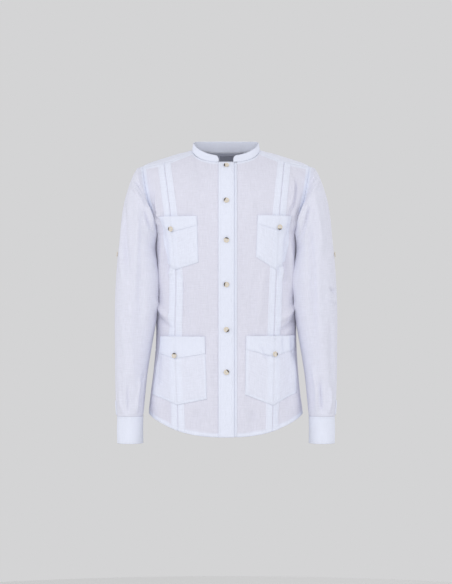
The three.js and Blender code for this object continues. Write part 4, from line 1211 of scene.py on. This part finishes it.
def pocket_columns(pocket, side, z):
    down = (z - pocket["top"]) / (pocket["inner"] - pocket["top"])
    inner = mix(pocket["innerTop"], pocket["innerLow"], down)
    outer = mix(pocket["outerTop"], pocket["outerLow"], down)
    line = groove(side, z)
    first, last = line - TUCK_REACH, line + TUCK_REACH
    near, past = first - POCKET_EASE, last + POCKET_EASE
    end = np.maximum(outer, past + POCKET_SIDE)
    return [inner, mix(inner, near, 0.5), near, first, line, last, past, mix(past, end, 0.55), end]


def pocket_x(pocket, side, place, z):
    return between_columns(pocket_columns(pocket, side, z), place)


def pointed_heights(pocket, side, inner_z, point_z, outer_z):
    """The heights of a line across a pocket that comes to a point over the tucks' groove."""
    x = pocket_x(pocket, side, POCKET_PLACES, np.full_like(POCKET_PLACES, point_z))
    point = x[np.searchsorted(POCKET_PLACES, GROOVE_COLUMN)]
    rising = mix(inner_z, point_z, (x - x[0]) / (point - x[0]))
    falling = mix(point_z, outer_z, (x - point) / (x[-1] - point))
    return np.where(x <= point, rising, falling)


def pocket_sheet(pocket, side, feet, rows):
    """Places of a pocket's grid on the front, from its pointed foot to its top."""
    up = np.linspace(0, 1, rows)[:, None]
    z = mix(feet[None], pocket["top"], up)
    return pocket_x(pocket, side, POCKET_PLACES[None], z), z


def pocket_height(side, x, z, from_side, from_foot, below_top):
    """How far a pocket's cloth stands off the front: down at its sewn edges, a little open at the top."""
    sewn = smooth(0, PRESS_WIDTH, np.minimum(from_side, from_foot))
    mouth = MOUTH_OPEN * smooth(MOUTH_DEEP, 0, below_top) * smooth(0, MOUTH_SIDE, from_side)
    return mix(SINGLE + SEWN_GAP, POCKET_LIFT, sewn) + mouth + tuck_rise(x - groove(side, z))


def side_distance(cut):
    return np.minimum(cut[..., 0] - cut[:, :1, 0], cut[:, -1:, 0] - cut[..., 0])


for k, (kind, side) in enumerate(zip(POCKET_NAMES, POCKET_SIDES)):
    pocket = {name: column[k] for name, column in POCKETS.items()}
    flip = side == "right"
    feet = pointed_heights(pocket, side, pocket["inner"], pocket["point"], pocket["outer"])
    x, z = pocket_sheet(pocket, side, feet, POCKET_ROWS)
    base, out = on_front(side, x, z)
    base = fold_cloth(base, out)
    cut = flat_place(base, 0, 0)
    from_side = side_distance(cut)
    from_foot = z - feet[None]
    lift = pocket_height(side, x, z, from_side, from_foot, pocket["top"] - z)
    layers = np.maximum(pocket["white"], near_edge(np.minimum(from_side, from_foot), POCKET_TURN))
    layers = np.maximum(layers, np.clip(tuck_rise(x - groove(side, z)), 0, 1))
    add_sheet(f"{kind}_{side}", base + out * lift[..., None], cut, layers, SINGLE, body_linen, flip)
    band_side = pocket["top"] - pocket["bandSide"]
    feet = pointed_heights(pocket, side, band_side, pocket["top"] - pocket["bandPoint"], band_side)
    x, z = pocket_sheet(pocket, side, feet, BAND_ROWS)
    base, out = on_front(side, x, z)
    base = fold_cloth(base, out)
    cut = flat_place(base, 0, 0)
    from_side = side_distance(cut)
    lift = pocket_height(side, x, z, from_side, PRESS_WIDTH, pocket["top"] - z) + SINGLE + SEWN_GAP
    lift = lift + BAND_STAND * smooth(0, BAND_PRESS, np.minimum(from_side, z - feet[None]))
    layers = np.ones(x.shape)
    add_sheet(f"{kind}_band_{side}", base + out * lift[..., None], cut, layers, SINGLE, doubled_linen, flip)

# %% [markdown]
# The neck label is a short woven tape, sewn to the inside of the back at its ends. It is bare here.

# %% Neck label
LABEL_LEFT = 25
LABEL_RIGHT = -14
LABEL_TOP = -8
LABEL_FOOT = -27
LABEL_COLUMNS = 30
LABEL_ROWS = 16
TAPE = 0.5


def label_tape():
    material, tree = new_finish("woven_tape")
    place = add_node(tree, "ShaderNodeUVMap", uv_map="cloth")
    ribs = streaks(tree, place, 0.5, 3, 2.0)
    tone = add_node(tree, "ShaderNodeMix", [("Factor", ribs, "Fac")], data_type="RGBA")
    tone.inputs[6].default_value = linear("a9acbb")
    tone.inputs[7].default_value = linear("c9ccda")
    bump = add_node(tree, "ShaderNodeBump", [("Height", ribs, "Fac")], Strength=0.4, Distance=0.0002)
    links = [("Base Color", tone, 2), ("Normal", bump, 0)]
    shader = add_node(tree, "ShaderNodeBsdfPrincipled", links, Roughness=0.55)
    add_node(tree, "ShaderNodeOutputMaterial", [("Surface", shader, 0)])
    return material


x = np.linspace(LABEL_RIGHT, LABEL_LEFT, LABEL_COLUMNS)[None]
z = np.linspace(LABEL_FOOT, LABEL_TOP, LABEL_ROWS)[:, None]
x, z = np.broadcast_arrays(x, z)
points = np.stack([x, back_y("left", np.abs(x), z), z], axis=-1)
points = points + ways_out(points, False) * (CLOTH / 2 + LAY_GAP + BAND_CLOTH / 2)
add_band("neck_label", points, TAPE, label_tape())

# %% [markdown]
# Each button is turned from horn-coloured stock: a thin disc with a raised rim, a dished face and four
# holes, pale with a dark patch where the horn is darker. A turned thing is a profile that is spun, and
# the holes are cut by a boolean. The thread that holds it lies as two short bars over the dish.

# %% Buttons
BUTTON_RADIUS = 6
BUTTON_STEPS = 36
BUTTON_GAP = 0.4
HOLE_RADIUS = 0.75
HOLE_PLACE = 1.35
HOLE_SEGMENTS = 12
DRILL_LENGTH = 6
BAR_RADIUS = 0.42
BAR_SEGMENTS = 10
BAR_HEIGHT = 1.75
BAR_FLATNESS = 0.7
DARK_SPAN = (0.15, 0.75)  # how the horn darkens from the button's middle to its edge
BUTTON_PROFILE = (
    (0, 0.1), (4.6, 0.1), (5.3, 0.5), (5.85, 1.0), (6, 1.4), (5.8, 2.0), (5.3, 2.35), (4.8, 2.4), (4.3, 2.2),
    (3.8, 1.75), (3.2, 1.6), (0, 1.6),
)


def horn():
    material, tree = new_finish("polished_horn")
    dark = add_node(tree, "ShaderNodeAttribute", attribute_name="dark")
    place = add_node(tree, "ShaderNodeTexCoord")
    links = [("Vector", place, "Object")]
    grain = add_node(tree, "ShaderNodeTexNoise", links, Scale=420.0, Detail=4.0, Distortion=1.2)
    edge = add_node(tree, "ShaderNodeMath", [(0, dark, "Fac"), (1, grain, "Fac")], operation="ADD")
    patch = add_node(tree, "ShaderNodeMapRange", [("Value", edge, 0)], From_Min=1.0, From_Max=1.35)
    pale = add_node(tree, "ShaderNodeMix", [("Factor", grain, "Fac")], data_type="RGBA")
    pale.inputs[6].default_value = linear("ece5d8")
    pale.inputs[7].default_value = linear("d2c4ac")
    colour = add_node(tree, "ShaderNodeMix", [("Factor", patch, 0), (6, pale, 2)], data_type="RGBA")
    colour.inputs[7].default_value = linear("3a2d24")
    shader = add_node(tree, "ShaderNodeBsdfPrincipled", [("Base Color", colour, 2)], Roughness=0.3)
    add_node(tree, "ShaderNodeOutputMaterial", [("Surface", shader, 0)])
    return material


def thread():
    material, tree = new_finish("sewing_thread")
    place = add_node(tree, "ShaderNodeTexCoord")
    twist = add_node(tree, "ShaderNodeTexNoise", [("Vector", place, "Object")], Scale=2500.0, Detail=2.0)
    tone = add_node(tree, "ShaderNodeMix", [("Factor", twist, "Fac")], data_type="RGBA")
    tone.inputs[6].default_value = linear("d6dae8")
    tone.inputs[7].default_value = linear("f2f4fb")
    shader = add_node(tree, "ShaderNodeBsdfPrincipled", [("Base Color", tone, 2)], Roughness=0.6)
    add_node(tree, "ShaderNodeOutputMaterial", [("Surface", shader, 0)])
    return material


def add_rod(bm, segments, radius, length, matrix):
    """A round rod about a matrix's origin, along its Z."""
    bmesh.ops.create_cone(
        bm, cap_ends=True, segments=segments, radius1=radius * MM, radius2=radius * MM, depth=length * MM,
        matrix=matrix,
    )


def turned_button():
    """One button at the origin, facing +Z, with its holes."""
    bm = bmesh.new()
    verts = [bm.verts.new((r * MM, 0, z * MM)) for r, z in BUTTON_PROFILE]
    edges = [bm.edges.new(pair) for pair in zip(verts, verts[1:])]
    bmesh.ops.spin(
        bm, geom=verts + edges, axis=(0, 0, 1), cent=(0, 0, 0), steps=BUTTON_STEPS, angle=math.tau,
        use_merge=True,
    )
    bmesh.ops.remove_doubles(bm, verts=bm.verts, dist=0.001 * MM)
    bmesh.ops.recalc_face_normals(bm, faces=bm.faces)
    blank = new_piece("turned", bm)
    bm = bmesh.new()
    for across in (-1, 1):
        for up in (-1, 1):
            spot = Matrix.Translation((across * HOLE_PLACE * MM, up * HOLE_PLACE * MM, MM))
            add_rod(bm, HOLE_SEGMENTS, HOLE_RADIUS, DRILL_LENGTH, spot)
    drill = new_piece("drill", bm)
    holes = blank.modifiers.new("holes", "BOOLEAN")
    holes.object = drill
    holes.operation = "DIFFERENCE"
    holes.solver = "EXACT"
    bpy.context.view_layer.update()
    shaped = blank.evaluated_get(bpy.context.evaluated_depsgraph_get())
    finished = bpy.data.meshes.new_from_object(shaped)
    bpy.data.objects.remove(blank)
    bpy.data.objects.remove(drill)
    return finished


def add_threads(bm, turn):
    """Two bars of thread across the dish."""
    for across in (-1, 1):
        place = turn @ Matrix.Translation((across * HOLE_PLACE * MM, 0, BAR_HEIGHT * MM))
        place = place @ Matrix.Diagonal((1, 1, BAR_FLATNESS, 1)) @ Matrix.Rotation(math.pi / 2, 4, "X")
        add_rod(bm, BAR_SEGMENTS, BAR_RADIUS, 2 * HOLE_PLACE + HOLE_RADIUS, place)


horn_finish = horn()
thread_finish = thread()
button_mesh = turned_button()
print("faces of one button:", len(button_mesh.polygons))


def add_button(name, point, out, dark_angle, tilt=0.0):
    """A button on the cloth at a point, with its dark patch towards a direction seen from the front."""
    out = Vector(out)
    turn = Vector((0, 0, 1)).rotation_difference(out).to_matrix().to_4x4()
    place = Matrix.Translation(Vector(point) * MM + out * BUTTON_GAP * MM)
    place = place @ turn @ Matrix.Rotation(tilt, 4, "Z")
    toward = turn.to_3x3().inverted() @ Vector((math.cos(dark_angle), 0, math.sin(dark_angle)))
    toward = Matrix.Rotation(-tilt, 3, "Z") @ toward
    mesh = button_mesh.copy()
    mesh.name = f"horn_{name}"
    dark = mesh.attributes.new("dark", "FLOAT", "POINT")
    shares = []
    for vert in mesh.vertices:
        reach = (vert.co.x * toward.x + vert.co.y * toward.y) / (BUTTON_RADIUS * MM)
        shares.append(float(smooth(*DARK_SPAN, reach)))
    dark.data.foreach_set("value", shares)
    mesh.transform(place)
    for polygon in mesh.polygons:
        polygon.use_smooth = False
    piece = bpy.data.objects.new(f"horn_{name}", mesh)
    bpy.context.scene.collection.objects.link(piece)
    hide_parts(name)
    mesh.materials.clear()
    mesh.materials.append(horn_finish)
    bm = bmesh.new()
    add_threads(bm, place)
    return piece, new_piece(f"thread_{name}", bm, thread_finish)


PLACKET_BUTTONS = table(
    "z dark", (-42, 180), (-122, 150), (-210.3, 80), (-309.9, 170), (-411.4, -45), (-507.4, 40)
)
PLACKET_BUTTON_X = 1
PLACKET_BUTTON_TURN = 0.3  # each next button is turned by this much more on its thread
POCKET_BUTTON_TURN = 0.5
CUFF_DARK = 2.0
POCKET_DARK = (180, -90, 90, 0)
SLEEVE_BUTTON_ANGLE = 6
SLEEVE_BUTTON_Z = -241
CUFF_BUTTON_ANGLE = -33
CUFF_BUTTON_Z = -641


def front_spot(side, x, z, lift):
    points, out = on_front(side, np.array([x]), np.array([z]))
    points = fold_cloth(points, out)
    return (points + out * lift)[0], out[0]


buttons = []
for k, (z, dark) in enumerate(zip(PLACKET_BUTTONS["z"], PLACKET_BUTTONS["dark"])):
    point, out = front_spot("left", PLACKET_BUTTON_X, z, PLACKET_LIFT + DOUBLE_CLOTH / 2)
    turn = PLACKET_BUTTON_TURN * k
    buttons.append(add_button(f"button_front_{k + 1}", point, out, math.radians(dark), turn))
for k, (kind, side) in enumerate(zip(POCKET_NAMES, POCKET_SIDES)):
    z = POCKETS["top"][k] - POCKETS["button"][k]
    x = float(groove(side, z))
    lift = float(pocket_lift(side, x, z)) + POCKET_CLOTH / 2 + BAND_GAP + BAND_CLOTH
    point, out = front_spot(side, x, z, lift)
    dark = math.radians(POCKET_DARK[k])
    buttons.append(add_button(f"button_{kind}_{side}", point, out, dark, POCKET_BUTTON_TURN * k))
for side in ("right", "left"):
    point, out = on_sleeve(side, SLEEVE_BUTTON_ANGLE, SLEEVE_BUTTON_Z, CLOTH / 2)
    buttons.append(add_button(f"button_sleeve_{side}", point, out, 0.0))
    near = cuff_points(side, CUFF_BUTTON_ANGLE + 360, CUFF_BUTTON_Z, DOUBLE_CLOTH / 2)
    under = cuff_points(side, CUFF_BUTTON_ANGLE + 360, CUFF_BUTTON_Z, DOUBLE_CLOTH / 2 - 1)
    buttons.append(add_button(f"button_cuff_{side}", near, unit(near - under), CUFF_DARK))

# %% [markdown]
# Topstitching runs at an even distance from the edges. A row of stitches is laid on a sheet's own grid:
# the line at that distance from an edge is read off the cut cloth, walked at an even step, and each
# stitch is a short thin bar. One mesh holds all the stitches of a sheet.

# %% Topstitching
STITCH_STEP = 3.2
STITCH_LENGTH = 2.4
STITCH_RADIUS = 0.24
STITCH_SEGMENTS = 6
STITCH_PROUD = 0.05
EDGE_STITCH = 2
STITCH_LINES = {
    "placket": (("first", STITCH_IN), ("last", STITCH_IN)),
    "collar_band": (("bottom", EDGE_STITCH), ("top", EDGE_STITCH)),
    "cuff": (("bottom", STITCH_IN), ("top", STITCH_IN)),
    "front": (("bottom", HEM_TURN), ("last", SIDE_TURN)),
    "back": (("bottom", HEM_TURN), ("first", SEAM_TURN), ("last", SEAM_TURN)),
    "yoke": (("bottom", 1.5), ("top", 1.5)),
    "chest_pocket": (("bottom", EDGE_STITCH), ("first", EDGE_STITCH), ("last", EDGE_STITCH)),
    "lower_pocket": (("bottom", EDGE_STITCH), ("first", EDGE_STITCH), ("last", EDGE_STITCH)),
    "chest_pocket_band": (("bottom", EDGE_STITCH),),
    "lower_pocket_band": (("bottom", EDGE_STITCH),),
    "sleeve_placket": (("top", EDGE_STITCH),),
}


def line_along(values, cut, edge, distance):
    """Grid values on the line at a distance from one edge of the cut cloth."""
    across = edge in ("first", "last")
    spans = np.abs(cut[..., 0] - cut[:, :1, 0]) if across else np.abs(cut[..., 1] - cut[:1, :, 1]).T
    grid = values if across else values.transpose(1, 0, 2)
    if edge in ("last", "top"):
        spans = (spans[:, -1:] - spans)[:, ::-1]
        grid = grid[:, ::-1]
    rows = [[np.interp(distance, span, row[:, k]) for k in range(3)] for span, row in zip(spans, grid)]
    return np.array(rows)


def sew(bm, name, edge, distance):
    points, cut, out, thickness = sheets[name]
    line = line_along(points, cut, edge, distance)
    out = line_along(out, cut, edge, distance)
    run = np.append(0, np.cumsum(np.linalg.norm(np.diff(line, axis=0), axis=1)))
    middles = np.arange(STITCH_STEP, run[-1] - STITCH_STEP, STITCH_STEP)
    for middle in middles:
        spot, start, end, way = (
            Vector([np.interp(at, run, grid[:, k]) for k in range(3)])
            for at, grid in ((middle, line), (middle - 1, line), (middle + 1, line), (middle, out))
        )
        turn = (end - start).to_track_quat("Z", "Y").to_matrix().to_4x4()
        place = Matrix.Translation((spot + way.normalized() * (thickness / 2 + STITCH_PROUD)) * MM)
        add_rod(bm, STITCH_SEGMENTS, STITCH_RADIUS, STITCH_LENGTH, place @ turn)
    return len(middles)


stitch_count = 0
seams = []
for kind, lines in STITCH_LINES.items():
    for name in (kind,) if kind in sheets else (f"{kind}_right", f"{kind}_left"):
        bm = bmesh.new()
        for edge, distance in lines:
            stitch_count += sew(bm, name, edge, distance)
        seams.append(new_piece(f"stitches_{name}", bm, thread_finish))
print("stitches:", stitch_count)

# %% [markdown]
# Every piece rides on the shirt's one body and has its own finish. Each sheet and button stands for
# its solid, which is hidden, and a table lists the size that each sheet was cut to.

# %% Pieces and their solids
CUTS = {
    "front_right": (0.24, 0.66, 0.141),
    "front_left": (0.23, 0.66, 0.133),
    "placket": (0.035, 0.64, None),
    "button_stand": (0.034, 0.64, None),
    "back": (0.43, 0.57, 0.226),
    "yoke": (0.45, 0.19, 0.049),
    "collar_band": (0.39, 0.027, 0.0071),
    "sleeve_right": (0.36, 0.57, 0.15),
    "sleeve_left": (0.36, 0.57, 0.15),
    "sleeve_placket_right": (0.028, 0.033, None),
    "sleeve_placket_left": (0.028, 0.033, None),
    "cuff_right": (0.235, 0.0615, None),
    "cuff_left": (0.235, 0.0615, None),
    "chest_pocket_right": (0.1, 0.122, 0.0106),
    "chest_pocket_left": (0.095, 0.123, 0.0101),
    "lower_pocket_right": (0.135, 0.156, 0.018),
    "lower_pocket_left": (0.135, 0.157, 0.0182),
    "chest_pocket_band_right": (0.1, 0.035, 0.003),
    "chest_pocket_band_left": (0.095, 0.033, 0.0026),
    "lower_pocket_band_right": (0.12, 0.051, 0.0052),
    "lower_pocket_band_left": (0.125, 0.048, 0.005),
    "neck_label": (0.039, 0.022, None),
}
for name, (width, length, area) in CUTS.items():
    piece = bpy.data.objects[f"cloth_{name}"]
    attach(piece, "root")
    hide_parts(name)
for button, stitches in buttons:
    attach(button, "root")
    seams.append(stitches)
for seam in seams:
    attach(seam, "root")
print("sheets:", len(CUTS), "buttons:", len(buttons))

# %% [markdown]
# The room is a pale round floor well below the hem and an even pale surround. Five large soft lights
# stand in for a studio: the main one high in front, a low one in front, a weaker one from each side and
# one from behind, so that folds shade softly.

# %% Floor, light and camera
FLOOR_Z = -1.3
FLOOR_RADIUS = 2.2
CAMERA_DISTANCE = 4.5
CAMERA_Z = -0.327
VIEW_HEIGHT = 1.3432  # of the scene at the shirt's place


def plain_finish(name, colour, roughness):
    material, tree = new_finish(name)
    place = add_node(tree, "ShaderNodeTexCoord")
    speckle = add_node(tree, "ShaderNodeTexNoise", [("Vector", place, "Object")], Scale=30.0, Detail=2.0)
    bump = add_node(tree, "ShaderNodeBump", [("Height", speckle, "Fac")], Strength=0.05, Distance=0.001)
    shader = add_node(tree, "ShaderNodeBsdfPrincipled", [("Normal", bump, 0)], Roughness=roughness)
    shader.inputs["Base Color"].default_value = linear(colour)
    add_node(tree, "ShaderNodeOutputMaterial", [("Surface", shader, 0)])
    return material


bm = bmesh.new()
bmesh.ops.create_circle(bm, cap_ends=True, segments=96, radius=FLOOR_RADIUS)
bmesh.ops.translate(bm, verts=bm.verts, vec=(0, 0, FLOOR_Z))
floor = new_piece("floor", bm, plain_finish("matt_floor_paint", "dcdcdc", 0.8))


def soft_light(name, place, size, power):
    """A square area light that faces the middle of the shirt."""
    light = bpy.data.lights.new(name, "AREA")
    light.shape = "SQUARE"
    light.size = size
    light.energy = power
    lamp = bpy.data.objects.new(name, light)
    bpy.context.scene.collection.objects.link(lamp)
    lamp.location = place
    toward = Vector((0, 0, CAMERA_Z)) - lamp.location
    lamp.rotation_euler = toward.to_track_quat("-Z", "Y").to_euler()
    lamp.visible_camera = False


soft_light("key", (-2.2, -3.6, 1.5), 1.2, 30)
soft_light("fill_right", (3.0, -1.8, 0.2), 2.0, 21)
soft_light("fill_left", (-3.0, -1.6, 0.1), 2.0, 16)
soft_light("fill_low", (0.6, -5.0, -0.6), 2.2, 22)
soft_light("rim", (1.6, 3.0, 2.0), 1.4, 24)
surround = bpy.data.worlds.new("surround")
bpy.context.scene.world = surround
surround.use_nodes = True
background = surround.node_tree.nodes["Background"]
background.inputs["Color"].default_value = linear("d4d4d5")
bpy.context.scene.view_settings.view_transform = "Standard"

camera_data = bpy.data.cameras.new("camera")
camera_data.sensor_width = 36
camera_data.lens = camera_data.sensor_width * CAMERA_DISTANCE / VIEW_HEIGHT
camera = bpy.data.objects.new("camera", camera_data)
camera.location = (0, -CAMERA_DISTANCE, CAMERA_Z)
camera.rotation_euler = (math.pi / 2, 0, 0)
bpy.context.scene.collection.objects.link(camera)
bpy.context.scene.camera = camera
